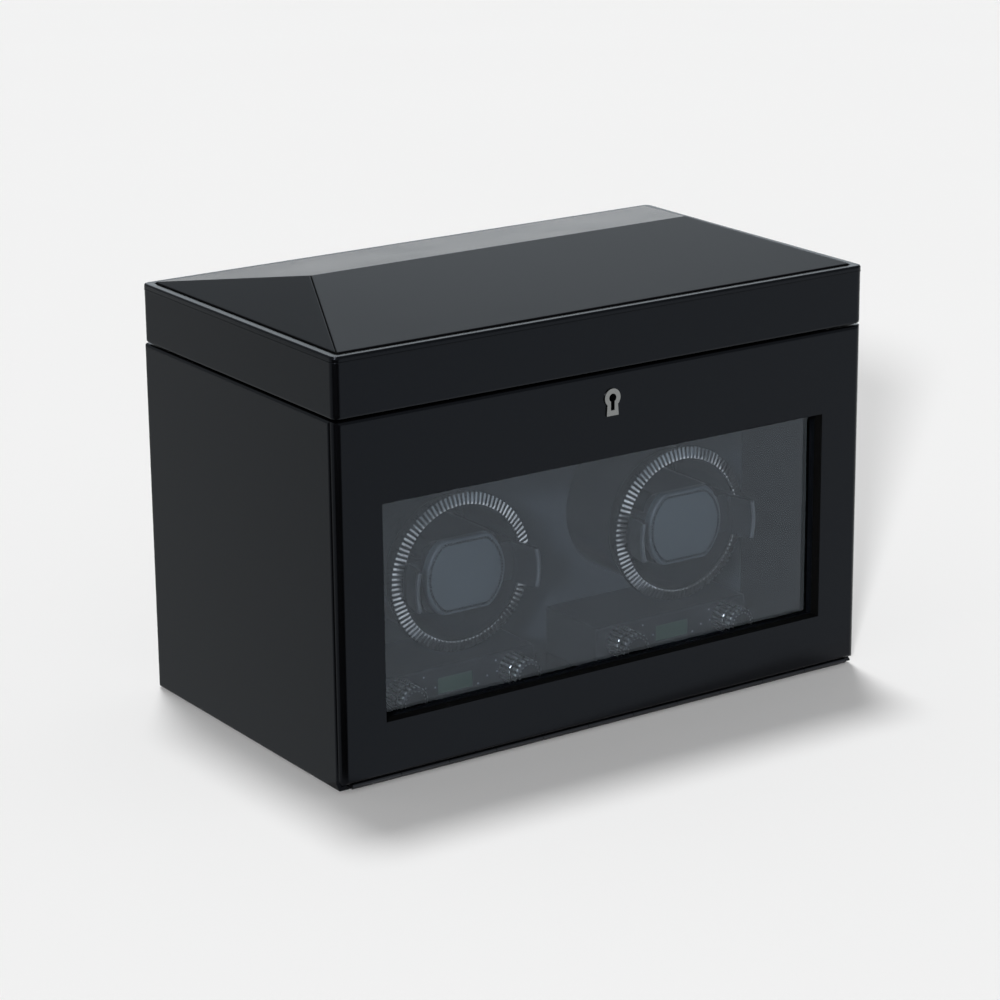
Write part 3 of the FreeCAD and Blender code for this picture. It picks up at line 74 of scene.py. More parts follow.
# %% [markdown]
# ## Camera
# The box was seen from its left front corner, a little above, through a long lens, so its edges hardly
# converge. The place, the turn and the lens were worked out by fitting the corners of the case.

# %% Place the camera
def linked(name, data):
    """A new object in the scene."""
    made = bpy.data.objects.new(name, data)
    bpy.context.scene.collection.objects.link(made)
    return made


camera_data = bpy.data.cameras.new("camera")
camera_data.lens = 119.2
camera_data.sensor_width = 36.0
camera = linked("camera", camera_data)
camera.location = (-0.98477, -1.45556, 0.64636)
camera.rotation_euler = Euler([math.radians(turn) for turn in (72.833, 0.5198, -34.135)], "XYZ")
bpy.context.scene.camera = camera
print("camera", round(camera.location.length, 2), "m from the middle of the footprint")

# %% [markdown]
# ## Shader sums
# A finish is a small recipe: some noise for the grain, some of it mixed into the colour, some into the
# roughness. This class wraps one socket, so that `grain * 0.2` or `grain + crease` adds the Math node by
# itself, and `add` makes any other node.

# %% A socket that does sums
class Wire:
    """One output of a shader node; arithmetic on it adds Math nodes to the same tree."""

    def __init__(self, tree, socket=None):
        self.tree = tree
        self.socket = socket

    def add(self, kind, settings=None, inputs=None, out=0):
        """Add a node: settings first, then the values or wires of its sockets; gives the output."""
        node = self.tree.nodes.new(kind)
        for key, value in (settings or {}).items():
            setattr(node, key, value)
        for key, value in (inputs or {}).items():
            if isinstance(value, Wire):
                self.tree.links.new(value.socket, node.inputs[key])
            else:
                node.inputs[key].default_value = value
        return Wire(self.tree, node.outputs[out])

    def sum(self, operation, first, second):
        return self.add("ShaderNodeMath", {"operation": operation}, {0: first, 1: second})

    def __add__(self, other):
        return self.sum("ADD", self, other)

    __radd__ = __add__

    def __sub__(self, other):
        return self.sum("SUBTRACT", self, other)

    def __mul__(self, other):
        return self.sum("MULTIPLY", self, other)

    def above(self, level):
        return self.sum("GREATER_THAN", self, level)

    def mix(self, low, high):
        """A colour between two, by this value from 0 to 1."""
        return self.add("ShaderNodeMix", {"data_type": "RGBA", "clamp_factor": True},
                        {0: self, 6: low, 7: high}, out=2)

    def bump(self, strength, depth):
        """A normal that leans as this height rises and falls."""
        return self.add("ShaderNodeBump", None, {"Strength": strength, "Distance": depth, "Height": self})


print("sums: + - *, above, mix and bump")

# %% [markdown]
# Every finish starts the same way: one Principled shader, its plain numbers set on its own sockets, and
# Object coordinates to hang the pattern on. The pieces sit at the origin, so those are metres in the
# frame of the box, and a grain has the same size on every board.

# %% Start a finish
def new_finish(name, colour, roughness, metallic=0.0, **plain):
    """A material with one Principled shader; gives it, a wire for its tree, and the shader."""
    material = bpy.data.materials.new(name)
    material.use_nodes = True
    tree = material.node_tree
    shader = tree.nodes["Principled BSDF"]
    shader.inputs["Base Color"].default_value = (*colour, 1.0)
    shader.inputs["Roughness"].default_value = roughness
    shader.inputs["Metallic"].default_value = metallic
    for key, value in plain.items():
        shader.inputs[key.replace("_", " ")].default_value = value
    return material, Wire(tree), shader


def plug(shader, name, wire):
    shader.id_data.links.new(wire.socket, shader.inputs[name])


def place(wire, stretch=(1.0, 1.0, 1.0)):
    """Object coordinates in metres, stretched along each axis."""
    spot = wire.add("ShaderNodeTexCoord", out="Object")
    return wire.add("ShaderNodeMapping", None, {"Vector": spot, "Scale": stretch})


def noise(wire, spot, scale, detail=2.0):
    return wire.add("ShaderNodeTexNoise", None, {"Vector": spot, "Scale": scale, "Detail": detail})


def cells(wire, spot, scale):
    """How far a point is from the edge of its cell, 0 at the edge."""
    return wire.add("ShaderNodeTexVoronoi", {"feature": "DISTANCE_TO_EDGE"},
                    {"Vector": spot, "Scale": scale})


def shade(colour, share):
    """A colour made lighter or darker, for a Mix node."""
    return (*(channel * share for channel in colour), 1.0)


def tint(shader, tone, colour, dark, light):
    """Vary the base colour between a darker and a lighter share of one colour."""
    plug(shader, "Base Color", tone.mix(shade(colour, dark), shade(colour, light)))


finishes = {}
print("a finish starts from one shader")

# %% [markdown]
# ## Leatherette
# The boards are wrapped in black leatherette with a satin coat and a pebble grain of about half a
# millimetre. The sheet itself is nearly black, so all that is seen on it is the pale room, mirrored weakly
# and a little blue. The grain is a cell pattern whose edges dip, over slow noise that varies the sheen. On
# the outer edges the sheet is pulled tight and rubbed, so there it is a touch lighter and smoother.

# %% Leatherette
LEATHER = (0.001, 0.001, 0.0012)
LEATHER_SHEEN = (0.77, 0.84, 1.0, 1.0)


def rubbed_edges(wire, low, high, width):
    """1 where a point lies within a width of two outer faces of a box at once, which is its edges."""
    spot = wire.add("ShaderNodeTexCoord", out="Object")
    near = None
    for axis in range(3):
        part = wire.add("ShaderNodeSeparateXYZ", None, {"Vector": spot}, out=axis)
        middle = (low[axis] + high[axis]) / 2
        reach = (high[axis] - low[axis]) / 2 - width
        away = wire.add("ShaderNodeMath", {"operation": "ABSOLUTE"}, {0: part - middle})
        share = away.above(reach)
        near = share if near is None else near + share
    return near.above(1.5)


def leatherette(name, low, high):
    material, wire, shader = new_finish(name, LEATHER, 0.24, Specular_IOR_Level=0.19,
                                        Specular_Tint=LEATHER_SHEEN)
    spot = place(wire)
    slow = noise(wire, spot, 18.0)
    pebble = cells(wire, spot, 1500.0)
    fine = noise(wire, spot, 4200.0)
    rubbed = rubbed_edges(wire, low, high, 1.2 * MM)
    tone = slow * 0.7 + rubbed * 0.6
    tint(shader, tone, LEATHER, 0.7, 1.6)
    plug(shader, "Roughness", slow * 0.08 + 0.2 - rubbed * 0.03)
    plug(shader, "Normal", (pebble + fine * 0.25).bump(0.1, 0.1 * MM))
    return material


def blacked_board():
    """Bare board, blacked so that it doesn't show in the seams of its sheet."""
    black = (0.002, 0.002, 0.002)
    material, wire, shader = new_finish("blacked_board", black, 0.9, Specular_IOR_Level=0.05)
    fibre = noise(wire, place(wire), 700.0, 3.0)
    tint(shader, fibre, black, 0.5, 1.5)
    plug(shader, "Normal", fibre.bump(0.2, 0.1 * MM))
    return material


def joined_box(names):
    lows, highs = zip(*(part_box(name) for name in names))
    return np.min(lows, axis=0).tolist(), np.max(highs, axis=0).tolist()


WRAPPED = {
    "case_leatherette": ("base_board", "left_side", "right_side", "back_panel"),
    "lid_leatherette": ("lid_frame", "lid_roof"),
    "door_leatherette": ("door_panel",),
}
wrapped_finish = {}
for finish_name, members in WRAPPED.items():
    made = leatherette(finish_name, *joined_box(members))
    wrapped_finish.update({member: made for member in members})
finishes["leatherette"] = wrapped_finish["lid_roof"]
black_board = blacked_board()
wrapped_finish["lid_roof"] = black_board
print("leatherette on", sorted(wrapped_finish))

# %% [markdown]
# ## Cloths
# The inside is lined with black flock, the cushions are covered in charcoal suede and the feet are felt.
# All three are short fibre: rough, a little lighter where the pile stands to the light, and mottled where
# a hand has stroked it. Sheen on the shader gives the light edge, and two sizes of noise the mottling.

# %% Flock, suede and felt
def pile(name, colour, mottle, fibre, sheen, nap):
    material, wire, shader = new_finish(name, colour, 0.95, Sheen_Weight=sheen, Sheen_Roughness=0.4,
                                        Specular_IOR_Level=0.15)
    spot = place(wire)
    stroke = noise(wire, spot, mottle, 4.0)
    hair = noise(wire, spot, fibre)
    tone = stroke * 0.75 + hair * nap - 0.05
    tint(shader, tone, colour, 0.6, 1.5)
    plug(shader, "Roughness", 0.88 + hair * 0.12)
    plug(shader, "Normal", (hair + stroke * 0.4).bump(nap, 0.25 * MM))
    return material


finishes["lining"] = pile("flock_lining", (0.032, 0.034, 0.039), 30.0, 500.0, 0.1, 0.004)
finishes["cushion_suede"] = pile("charcoal_suede", (0.055, 0.056, 0.062), 45.0, 2200.0, 0.35, 0.35)
finishes["felt"] = pile("black_felt", (0.012, 0.012, 0.012), 90.0, 1400.0, 0.3, 0.35)
print("cloths:", sorted(finishes))

# %% [markdown]
# ## Pad leather
# The pads on the cuffs are soft leather, a shade lighter than the case, with a coarser grain and small
# creases. The creases are a second cell pattern, pulled out sideways, that only just dents the surface.

# %% Pad leather and thread
PAD = (0.039, 0.0435, 0.0475)


def pad_leather():
    material, wire, shader = new_finish("pad_leather", PAD, 0.5, Specular_IOR_Level=0.25)
    spot = place(wire)
    grain = cells(wire, spot, 1900.0)
    crease = cells(wire, place(wire, (0.6, 1.0, 1.0)), 420.0)
    slow = noise(wire, spot, 60.0, 3.0)
    tint(shader, slow * 0.8 + grain * 0.4, PAD, 0.75, 1.25)
    plug(shader, "Roughness", 0.4 + slow * 0.16)
    plug(shader, "Normal", (grain + crease * 0.5).bump(0.02, 0.1 * MM))
    return material


def thread(name, colour):
    material, wire, shader = new_finish(name, colour, 0.8, Specular_IOR_Level=0.1)
    twist = wire.add("ShaderNodeTexWave", {"bands_direction": "DIAGONAL"},
                     {"Vector": place(wire), "Scale": 1200.0, "Distortion": 0.6})
    tint(shader, twist, colour, 0.6, 1.4)
    plug(shader, "Normal", twist.bump(0.5, 0.06 * MM))
    return material


finishes["pad_leather"] = pad_leather()
dark_thread = thread("dark_thread", (0.003, 0.0033, 0.004))
print("pad leather and thread")

# %% [markdown]
# ## Metals
# There are six: polished chrome on the bezels and knobs, brushed nickel on the keyhole plate, black and
# bright steel on the hinges and the lock, bronze bushes and zinc motor cans. A polished metal is smooth
# with faint smears; a brushed one has long scratches, which are noise squeezed across the brushing. The
# fluted rings are bright only on their ridges and black in their flutes, where the black is painted shade
# for the grooves, so their finish reads a value that their meshes carry.

# %% Metals
METALS = {
    "chrome": ("polished_chrome", (0.78, 0.79, 0.81), 0.07, (1.0, 1.0, 1.0), 0.05),
    "nickel": ("brushed_nickel", (0.27, 0.265, 0.257), 0.3, (1.0, 30.0, 30.0), 0.16),
    "dark_steel": ("blackened_steel", (0.06, 0.06, 0.065), 0.35, (1.0, 12.0, 12.0), 0.12),
    "bright_steel": ("bright_steel", (0.6, 0.6, 0.62), 0.24, (1.0, 18.0, 18.0), 0.12),
    "bronze": ("sintered_bronze", (0.5, 0.34, 0.15), 0.42, (1.0, 1.0, 1.0), 0.16),
    "motor_can": ("zinc_can", (0.52, 0.52, 0.53), 0.34, (6.0, 1.0, 6.0), 0.12),
}


def metal(name, colour, roughness, stretch, smear):
    material, wire, shader = new_finish(name, colour, roughness, 1.0)
    scratch = noise(wire, place(wire, stretch), 160.0, 3.0)
    cloud = noise(wire, place(wire), 70.0, 3.0)
    tint(shader, cloud * 0.6 + scratch * 0.4, colour, 0.86, 1.08)
    plug(shader, "Roughness", scratch * smear + cloud * smear + (roughness - smear))
    plug(shader, "Normal", scratch.bump(0.03, 0.05 * MM))
    return material


def metal_with_painted_flute_shade(name, dark, bright, roughness):
    """Metal that is bright on its ridges, by the mesh's own ridge value, and black in its flutes as
    painted shade.
    """
    material, wire, shader = new_finish(name, bright, roughness, 1.0)
    ridge = wire.add("ShaderNodeAttribute", {"attribute_name": "ridge"}, out="Fac")
    cloud = noise(wire, place(wire), 70.0, 3.0)
    plug(shader, "Base Color", (ridge * (cloud * 1.8 - 0.15)).mix(shade(dark, 1.0), shade(bright, 1.0)))
    plug(shader, "Roughness", cloud * 0.06 + (roughness - 0.03))
    return material


for slot_name, recipe in METALS.items():
    finishes[slot_name] = metal(*recipe)
# Both chromes are black in their flutes: painted shade for the grooves between the bright ridges.
bezel_chrome = metal_with_painted_flute_shade("bezel_chrome", (0.012, 0.012, 0.013), (0.5, 0.48, 0.47), 0.16)
knob_chrome = metal_with_painted_flute_shade("knob_chrome", (0.01, 0.01, 0.011), (0.85, 0.84, 0.82), 0.34)
print("metals:", ", ".join(METALS))

# %% [markdown]
# ## Plastics and rubber
# The moulded parts are black plastic with the fine spark texture of a mould; belts and wire sleeves are
# rubber, duller and dusted grey in places. One recipe makes them all, with a different size of speck.

# %% Plastics and rubber
MOULDED = {
    "black_plastic": ("moulded_plastic", (0.006, 0.0062, 0.007), 0.36, 0.12, 1800.0, 0.03),
    "belt_rubber": ("belt_rubber", (0.02, 0.02, 0.02), 0.75, 0.4, 900.0, 0.25),
    "lead_rubber": ("lead_rubber", (0.016, 0.016, 0.017), 0.5, 0.4, 700.0, 0.12),
}


def moulded(name, colour, roughness, gloss, speck, strength):
    material, wire, shader = new_finish(name, colour, roughness, Specular_IOR_Level=gloss)
    spot = place(wire)
    spark = noise(wire, spot, speck, 3.0)
    dust = noise(wire, spot, 25.0, 3.0)
    tint(shader, dust * 0.7 + spark * 0.3, colour, 0.7, 1.5)
    plug(shader, "Roughness", (roughness - 0.08) + dust * 0.16)
    plug(shader, "Normal", spark.bump(strength, 0.1 * MM))
    return material


for slot_name, recipe in MOULDED.items():
    finishes[slot_name] = moulded(*recipe)
# A glossier plastic for the ear edges, a little lighter in colour than the ears: the lighter colour is a
# painted highlight.
glossy_edge_painted_highlight = moulded("glossy_edge_painted_highlight", (0.02, 0.021, 0.023), 0.3, 0.5, 1800.0, 0.02)
print("moulded:", ", ".join(MOULDED))

# %% [markdown]
# ## Display and circuit board
# The display is a switched-off liquid crystal: grey-green, with the fine rows of its cells, under a
# glossy cover. The boards are green lacquer over copper tracks, which a brick pattern stands for.

# %% Display and circuit board
def display_finish():
    colour = (0.022, 0.05, 0.03)
    material, wire, shader = new_finish("liquid_crystal", colour, 0.3, Coat_Weight=0.5, Coat_Roughness=0.1)
    spot = place(wire)
    rows = wire.add("ShaderNodeTexWave", {"bands_direction": "Z"}, {"Vector": spot, "Scale": 700.0})
    cloud = noise(wire, spot, 60.0)
    tint(shader, cloud * 0.8 + rows * 0.2, colour, 0.8, 1.2)
    return material


def board_finish():
    lacquer = (0.02, 0.09, 0.035)
    material, wire, shader = new_finish("circuit_board", lacquer, 0.35)
    tracks = wire.add("ShaderNodeTexBrick", {"offset": 0.37},
                      {"Vector": place(wire), "Scale": 90.0, "Mortar Size": 0.03}, out="Fac")
    plug(shader, "Base Color", tracks.mix(shade(lacquer, 1.0), (0.05, 0.16, 0.06, 1.0)))
    plug(shader, "Normal", tracks.bump(0.3, 0.05 * MM))
    return material


finishes["display"] = display_finish()
finishes["board"] = board_finish()
print("display and board")

# %% [markdown]
# ## Glass
# The pane is 3 mm glass with a faint blue tint. It mirrors the pale card in front of it as a grey-blue
# veil, and behind it the inside is dim. Real glass also lets the lamps in, which a path tracer finds only
# by luck, so for shadow rays and diffuse rays the pane is a Transparent shader instead.

# %% Glass
def window_glass():
    tint = (0.86, 0.93, 1.0)
    material, wire, shader = new_finish("window_glass", tint, 0.0, Transmission_Weight=1.0, IOR=1.42,
                                        Specular_Tint=(0.84, 0.91, 1.0, 1.0))
    smear = noise(wire, place(wire), 9.0, 3.0)
    plug(shader, "Roughness", smear * 0.006)
    tree = material.node_tree
    shadow = (wire.add("ShaderNodeLightPath", out="Is Shadow Ray")
              + wire.add("ShaderNodeLightPath", out="Is Diffuse Ray")).above(0.5)
    clear = wire.add("ShaderNodeBsdfTransparent", None, {"Color": (0.8, 0.86, 0.92, 1.0)})
    pane = wire.add("ShaderNodeMixShader", None, {0: shadow, 1: Wire(tree, shader.outputs[0]), 2: clear})
    tree.links.new(pane.socket, tree.nodes["Material Output"].inputs["Surface"])
    return material


finishes["window_glass"] = window_glass()
print("glass")

# %% [markdown]
# ## Dress the CAD nodes
# The record says which finish each node has, so one loop dresses them all. The three groups of wrapped
# boards take their own leatherette, because the rubbed edges are those of the case, the lid or the door.

# %% Dress the nodes
for entry in frame["record"]["subparts"]:
    label = entry["node"]
    chosen = wrapped_finish.get(label) or finishes[entry["material_slot"]]
    nodes[label].data.materials.clear()
    nodes[label].data.materials.append(chosen)

# %% [markdown]
# ## From arrays to meshes
# A surface here is a grid of points worked out by numpy. These helpers join the neighbours into quads and
# put the arrays into a mesh. The points already lie where the piece goes, so the object stays at the
# origin. Closed shells get their normals turned outwards after their doubled points are merged.

# %% Mesh helpers
MERGE = 1e-6
SHARP = math.radians(35)


def quads(rows, columns, wrap_rows=False, wrap_columns=True):
    """Corner numbers of each cell of a grid; a wrapped direction joins its end to its start."""
    row, column = np.meshgrid(np.arange(rows if wrap_rows else rows - 1),
                              np.arange(columns if wrap_columns else columns - 1), indexing="ij")
    below, beside = (row + 1) % rows, (column + 1) % columns
    corners = [row * columns + column, row * columns + beside,
               below * columns + beside, below * columns + column]
    return np.stack(corners, -1).reshape(-1, 4)


def capped(rows, columns):
    """The quads of a stack of rings, with one face over each end."""
    first, last = list(range(columns)), list(range((rows - 1) * columns, rows * columns))
    return quads(rows, columns).tolist() + [first[::-1], last]


def unit(rows):
    """Directions with length 1."""
    return rows / np.linalg.norm(rows, axis=-1, keepdims=True)


def circle(count):
    """Cosines and sines of even steps all the way round."""
    angle = np.linspace(0, 2 * math.pi, count, endpoint=False)
    return np.cos(angle), np.sin(angle)


def copies(faces, size, count):
    """The same faces for each of a count of copies that have a size of points each."""
    return [[corner + number * size for corner in face] for number in range(count) for face in faces]


def merge_points(mesh):
    """Merge doubled points and turn the normals outwards."""
    shape = bmesh.new()
    shape.from_mesh(mesh)
    bmesh.ops.remove_doubles(shape, verts=shape.verts, dist=MERGE)
    bmesh.ops.recalc_face_normals(shape, faces=shape.faces)
    shape.to_mesh(mesh)
    shape.free()


def make_piece(name, shells, body, slot, finish=None, stands_for=()):
    """One object from (points, faces) shells, riding on a body, in its slot's finish or its own. A shell
    may have a third array, how far each point is bright metal and not painted shade, for its finish to
    read."""
    points, faces, ridges, start = [], [], [], 0
    for shell_points, shell_faces, *ridge in shells:
        flat = np.asarray(shell_points, float).reshape(-1, 3)
        points.append(flat)
        ridges += [one.ravel() for one in ridge]
        faces += [[int(corner) + start for corner in face] for face in shell_faces]
        start += len(flat)
    mesh = bpy.data.meshes.new(name)
    mesh.from_pydata(np.concatenate(points).tolist(), [], faces)
    if ridges:
        mesh.attributes.new("ridge", "FLOAT", "POINT").data.foreach_set("value", np.concatenate(ridges))
    merge_points(mesh)
    mesh.shade_smooth()
    mesh.set_sharp_from_angle(angle=SHARP)
    mesh.materials.append(finish or finishes[slot])
    piece = linked(name, mesh)
    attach(piece, body)
    if stands_for:
        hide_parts(*stands_for)
    print(f"{name}: {len(mesh.polygons)} faces on {body}")
    return piece


def centre_of(node):
    low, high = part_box(node)
    return np.array((low + high) / 2)


def front_centre(node):
    """The middle of a node's front face."""
    low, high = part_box(node)
    return np.array(((low.x + high.x) / 2, low.y, (low.z + high.z) / 2))


print("helpers for grids, pieces and middles")

# %% [markdown]
# ## Turned and fluted pieces
# A bezel and a knob are both a profile turned about an axis, with flutes cut into it. The profile is a
# closed list of points (how far back, radius); each has two shares that say how far a flute sinks there,
# backwards and towards the axis, so that the flutes follow the face they are cut in and run out at its
# edges. The ridges between them stay flat, because flat ridges are what flash as separate bars.

# %% Fluted turning
RIDGE_EDGE = 0.35
RIDGE_FADE = 2.0
FLUTE_STEPS = 12


def fluted_turning(middle, profile, count, depth):
    """Profile points (back, radius, sunk back, sunk in, bright share) turned about +Y through middle. A
    flute is the upper half of a cosine, depth * max(0, cos(count * angle)); a point sinks by its shares of
    that.
    The bright share stays on the ridges and fades towards the flutes, which the finish paints black as
    shade."""
    back, radius, sunk_back, sunk_in, bright_share = np.array(profile).T[:, :, None]
    angle = np.linspace(0, 2 * math.pi, count * FLUTE_STEPS, endpoint=False)[None, :]
    wave = np.cos(count * angle)
    flute = depth * np.maximum(0, wave)
    reach = radius - sunk_in * flute
    points = np.stack([middle[0] + reach * np.cos(angle), middle[1] + back + sunk_back * flute,
                       middle[2] + reach * np.sin(angle)], -1)
    # Where the bright share is 0 the finish paints the metal black, as painted shade in the flutes.
    ridge = bright_share * np.clip(RIDGE_EDGE - wave * RIDGE_FADE, 0, 1)
    return points, quads(len(profile), count * FLUTE_STEPS, wrap_rows=True), ridge


def profile_mm(rows):
    """A profile given in millimetres, in metres; a point leaves out its last values where they are 0."""
    return [(row[0] * MM, row[1] * MM, *row[2:], *(0.0,) * (5 - len(row))) for row in rows]


print("a flute takes", FLUTE_STEPS, "steps")

# %% [markdown]
# ## Bezels
# Each bezel is a bright coin-edged ring round the mouth of its drum: a narrow lip, a shallow cone that
# carries the flutes, a brim, and behind it a plain sleeve that holds the drum.

# %% Bezels
BEZEL_FLUTES, BEZEL_DEPTH = 96, 0.8 * MM
BEZEL_PROFILE = profile_mm([
    (1.5, 37.4), (0.5, 37.4), (0.12, 37.55, 0.25, 0, 0.7), (0, 37.9, 0.6, 0, 1), (0.02, 38.3, 0.95, 0, 1),
    (0.35, 39.7, 1, 0.1, 1), (0.7, 41.1, 1, 0.2, 1), (1.05, 42.6, 1, 0.25, 1), (1.35, 43.75, 1, 0.3, 1),
    (1.7, 44, 0.6, 0.5), (2.4, 44, 0, 0.5), (3.2, 44), (4.7, 44), (5, 43.7), (5, 41), (12.6, 41),
    (13, 40.6), (13, 39.55), (1.6, 39.5),
])
for side in SIDES:
    ring = fluted_turning(front_centre(f"bezel_{side}"), BEZEL_PROFILE, BEZEL_FLUTES, BEZEL_DEPTH)
    make_piece(f"fluted_bezel_{side}", [ring], f"rotor_{side}", "chrome", bezel_chrome, [f"bezel_{side}"])

# %% [markdown]
# ## Knobs
# The four knobs choose the direction and the number of turns. They are fluted like the bezels, and a
# groove splits the grip into two bands. The front is slightly dished and the shaft runs back into the
# switch, so the piece can stand for the whole CAD knob.

# %% Knobs
KNOB_FLUTES, KNOB_DEPTH = 18, 0.9 * MM
KNOB_PROFILE = profile_mm([
    (0.4, 0.02), (0.35, 3.5), (0.1, 5.8), (0, 6.4, 0, 0, 0.5), (0.15, 6.9), (0.55, 7.4, 0, 0.1),
    (1, 7.9, 0, 0.5), (1.3, 8.5, 0, 1, 1), (1.6, 8.6, 0, 1, 1), (4.9, 8.6, 0, 1, 1), (5.15, 8.3, 0, 0.6),
    (5.25, 6.9), (7.1, 6.9), (7.2, 8.3, 0, 0.6), (7.5, 8.6, 0, 1, 1), (16.5, 8.6, 0, 1, 1),
    (16.85, 8.4, 0, 0.6), (17, 7.6), (17, 3), (25, 3), (25.5, 2.6), (25.5, 0.02),
])
for side in SIDES:
    for letter in "ab":
        label = f"knob_{side}_{letter}"
        knob = fluted_turning(front_centre(label), KNOB_PROFILE, KNOB_FLUTES, KNOB_DEPTH)
        make_piece(f"fluted_{label}", [knob], label, "chrome", knob_chrome, [label])

# %% [markdown]
# ## Roof leatherette
# The sheet on the roof is cut in four, one piece to a slope, and each edge is turned under. The turned
# edges stand a little apart along the hips and show as thin dark seams. A slope is its corners and a
# rolled border: rings that move inwards by an inset and upwards by a height, then one flat face.

# %% A sheet with a rolled border
ROLL_STEPS = 7
FLAT_MARGIN = 0.4 * MM
EDGE_POINTS = 24


def inset_corners(corners, normal, insets):
    """Corners of a flat outline after each side has moved inwards by its own inset: each corner is
    where two neighbouring moved sides cross."""
    along = unit(np.roll(corners, -1, axis=0) - corners)
    moved = corners + np.cross(normal, along) * insets[:, None]
    before, start = np.roll(along, 1, axis=0), np.roll(moved, 1, axis=0)
    reach = (np.cross(moved - start, along) @ normal) / (np.cross(before, along) @ normal)
    return start + before * reach[:, None]


def rolled_panel(corners, thickness, seams, rises):
    """A sheet over a flat outline. Each ring is the outline moved in by seam + r (1 - sin t) and up by
    r cos t as t goes from a right angle to 0; a side with a rise meets its neighbour instead. One more
    ring at full height keeps the shading of the roll out of the flat face."""
    corners = np.array(corners, float)
    normal = unit(np.cross(corners[1] - corners[0], corners[2] - corners[1]))
    share = np.linspace(0, 1, EDGE_POINTS, endpoint=False)[None, :, None]
    turns = np.linspace(math.pi / 2, 0, ROLL_STEPS)
    rolls = [(thickness * math.cos(turn), thickness * (1 - math.sin(turn)), 0.0) for turn in turns]
    rings = []
    for height, roll, margin in rolls + [(thickness, thickness, FLAT_MARGIN)]:
        met = -np.nan_to_num(rises) * height
        insets = np.where(np.isnan(rises), np.array(seams) + roll, met) + margin
        ring = inset_corners(corners, normal, insets) + normal * height
        spread = ring[:, None] + (np.roll(ring, -1, axis=0) - ring)[:, None] * share
        rings.append(spread.reshape(-1, 3))
    return np.array(rings), capped(len(rings), len(rings[0]))


print("a border rolls in", ROLL_STEPS, "steps")

# %% [markdown]
# The two long slopes have the same pitch, so their sheets meet along the ridge. Along the eaves and the
# hips each sheet keeps its seam.

# %% Roof skins
SKIN = 0.35 * MM
EAVES_SEAM, HIP_SEAM = 0.1 * MM, 0.3 * MM
ROOF_EDGE = 9.5 * MM
HIP_RUN = 41.8 * MM
roof_low, roof_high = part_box("lid_roof")
eaves = roof_low.z + ROOF_EDGE
ridge = roof_high.z
middle_y = (roof_low.y + roof_high.y) / 2
front_left, front_right = (roof_low.x, roof_low.y, eaves), (roof_high.x, roof_low.y, eaves)
back_left, back_right = (roof_low.x, roof_high.y, eaves), (roof_high.x, roof_high.y, eaves)
peak_left = (roof_low.x + HIP_RUN, middle_y, ridge)
peak_right = (roof_high.x - HIP_RUN, middle_y, ridge)
pitch = (ridge - eaves) / (middle_y - roof_low.y)
none = math.nan
ROOF_PANELS = {
    "roof_skin_front": ([front_left, front_right, peak_right, peak_left], [none, none, pitch, none]),
    "roof_skin_back": ([back_right, back_left, peak_left, peak_right], [none, none, pitch, none]),
    "roof_skin_left": ([back_left, front_left, peak_left], [none, none, none]),
    "roof_skin_right": ([front_right, back_right, peak_right], [none, none, none]),
}
for label, (corners, rises) in ROOF_PANELS.items():
    seams = [EAVES_SEAM] + [HIP_SEAM] * (len(corners) - 1)
    panel = rolled_panel(corners, SKIN, seams, np.array(rises))
    make_piece(label, [panel], "lid", "leatherette")

# %% [markdown]
# ## Seams and beads
# A seam is a thin tube carried along a line, sunk by half into the face that it lies on. Round the lid the
# line is a level rectangle with round corners.

# %% A tube along a loop
def rounded_rectangle(low, high, corner, per_corner):
    """Points round a level rectangle with round corners: a quarter circle about each corner's centre."""
    (left, near), (right, far) = np.array(low) + corner, np.array(high) - corner
    loop = []
    for quarter, centre in enumerate(((right, far), (left, far), (left, near), (right, near))):
        angle = np.linspace(0, math.pi / 2, per_corner) + quarter * math.pi / 2
        loop.append(centre + corner * np.stack([np.cos(angle), np.sin(angle)], -1))
    return np.concatenate(loop)


def round_section(across, upward, sides):
    """A circle of radius 1 at each point of a path, in the plane of two directions."""
    cosine, sine = (part[:, None] for part in circle(sides))
    return cosine * across[:, None] + sine * upward[:, None]


def tube(path, normals, radius, sides, closed):
    """A round section carried along a path; the section's axes are the normal and its cross product
    with the direction of the path."""
    path = np.asarray(path, float)
    if closed:
        along = np.roll(path, -1, axis=0) - np.roll(path, 1, axis=0)
    else:
        along = np.gradient(path, axis=0)
    along = unit(along)
    across = unit(np.cross(along, normals))
    points = path[:, None] + radius * round_section(across, np.cross(across, along), sides)
    faces = quads(len(path), sides, wrap_rows=True) if closed else capped(len(path), sides)
    return points, faces


UP = np.array([0.0, 0.0, 1.0])
print("tubes, open or closed")

# %% [markdown]
# ## Rim of the lid
# The sheet is drawn over the rim. The top of the rim is nearly level, so that it catches the light as one
# bright band, and just below it the fold of the sheet shows as a fine raised line. The band is a section
# of rows (how far in, how far up, in millimetres) carried round the lid.

# %% Rim
lid_low, lid_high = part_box("lid_frame")
RIM_FOLD_DROP, RIM_FOLD_RADIUS = 2 * MM, 0.3 * MM
LID_CORNER, CORNER_POINTS = 4 * MM, 9
RIM_ROWS = [
    (1.5, -1.3), (-0.1, -1.3), (-0.15, -0.6), (-0.12, 0.1), (0.02, 0.6), (0.3, 1.0), (0.65, 1.17),
    (0.9, 1.2), (2.0, 1.18), (3.0, 1.15), (4.0, 1.12), (4.8, 1.1), (5.0, 1.05), (5.2, 0.7), (5.2, -1.0),
]
LEAST_CORNER = 0.4 * MM


def lid_loop(inset, up):
    """The outline of the lid, moved in and up; its corners shrink as the inset grows."""
    low, high = np.array(lid_low[:2]) + inset, np.array(lid_high[:2]) - inset
    loop = rounded_rectangle(low, high, max(LID_CORNER - inset, LEAST_CORNER), CORNER_POINTS)
    return np.column_stack([loop, np.full(len(loop), lid_high.z + up)])


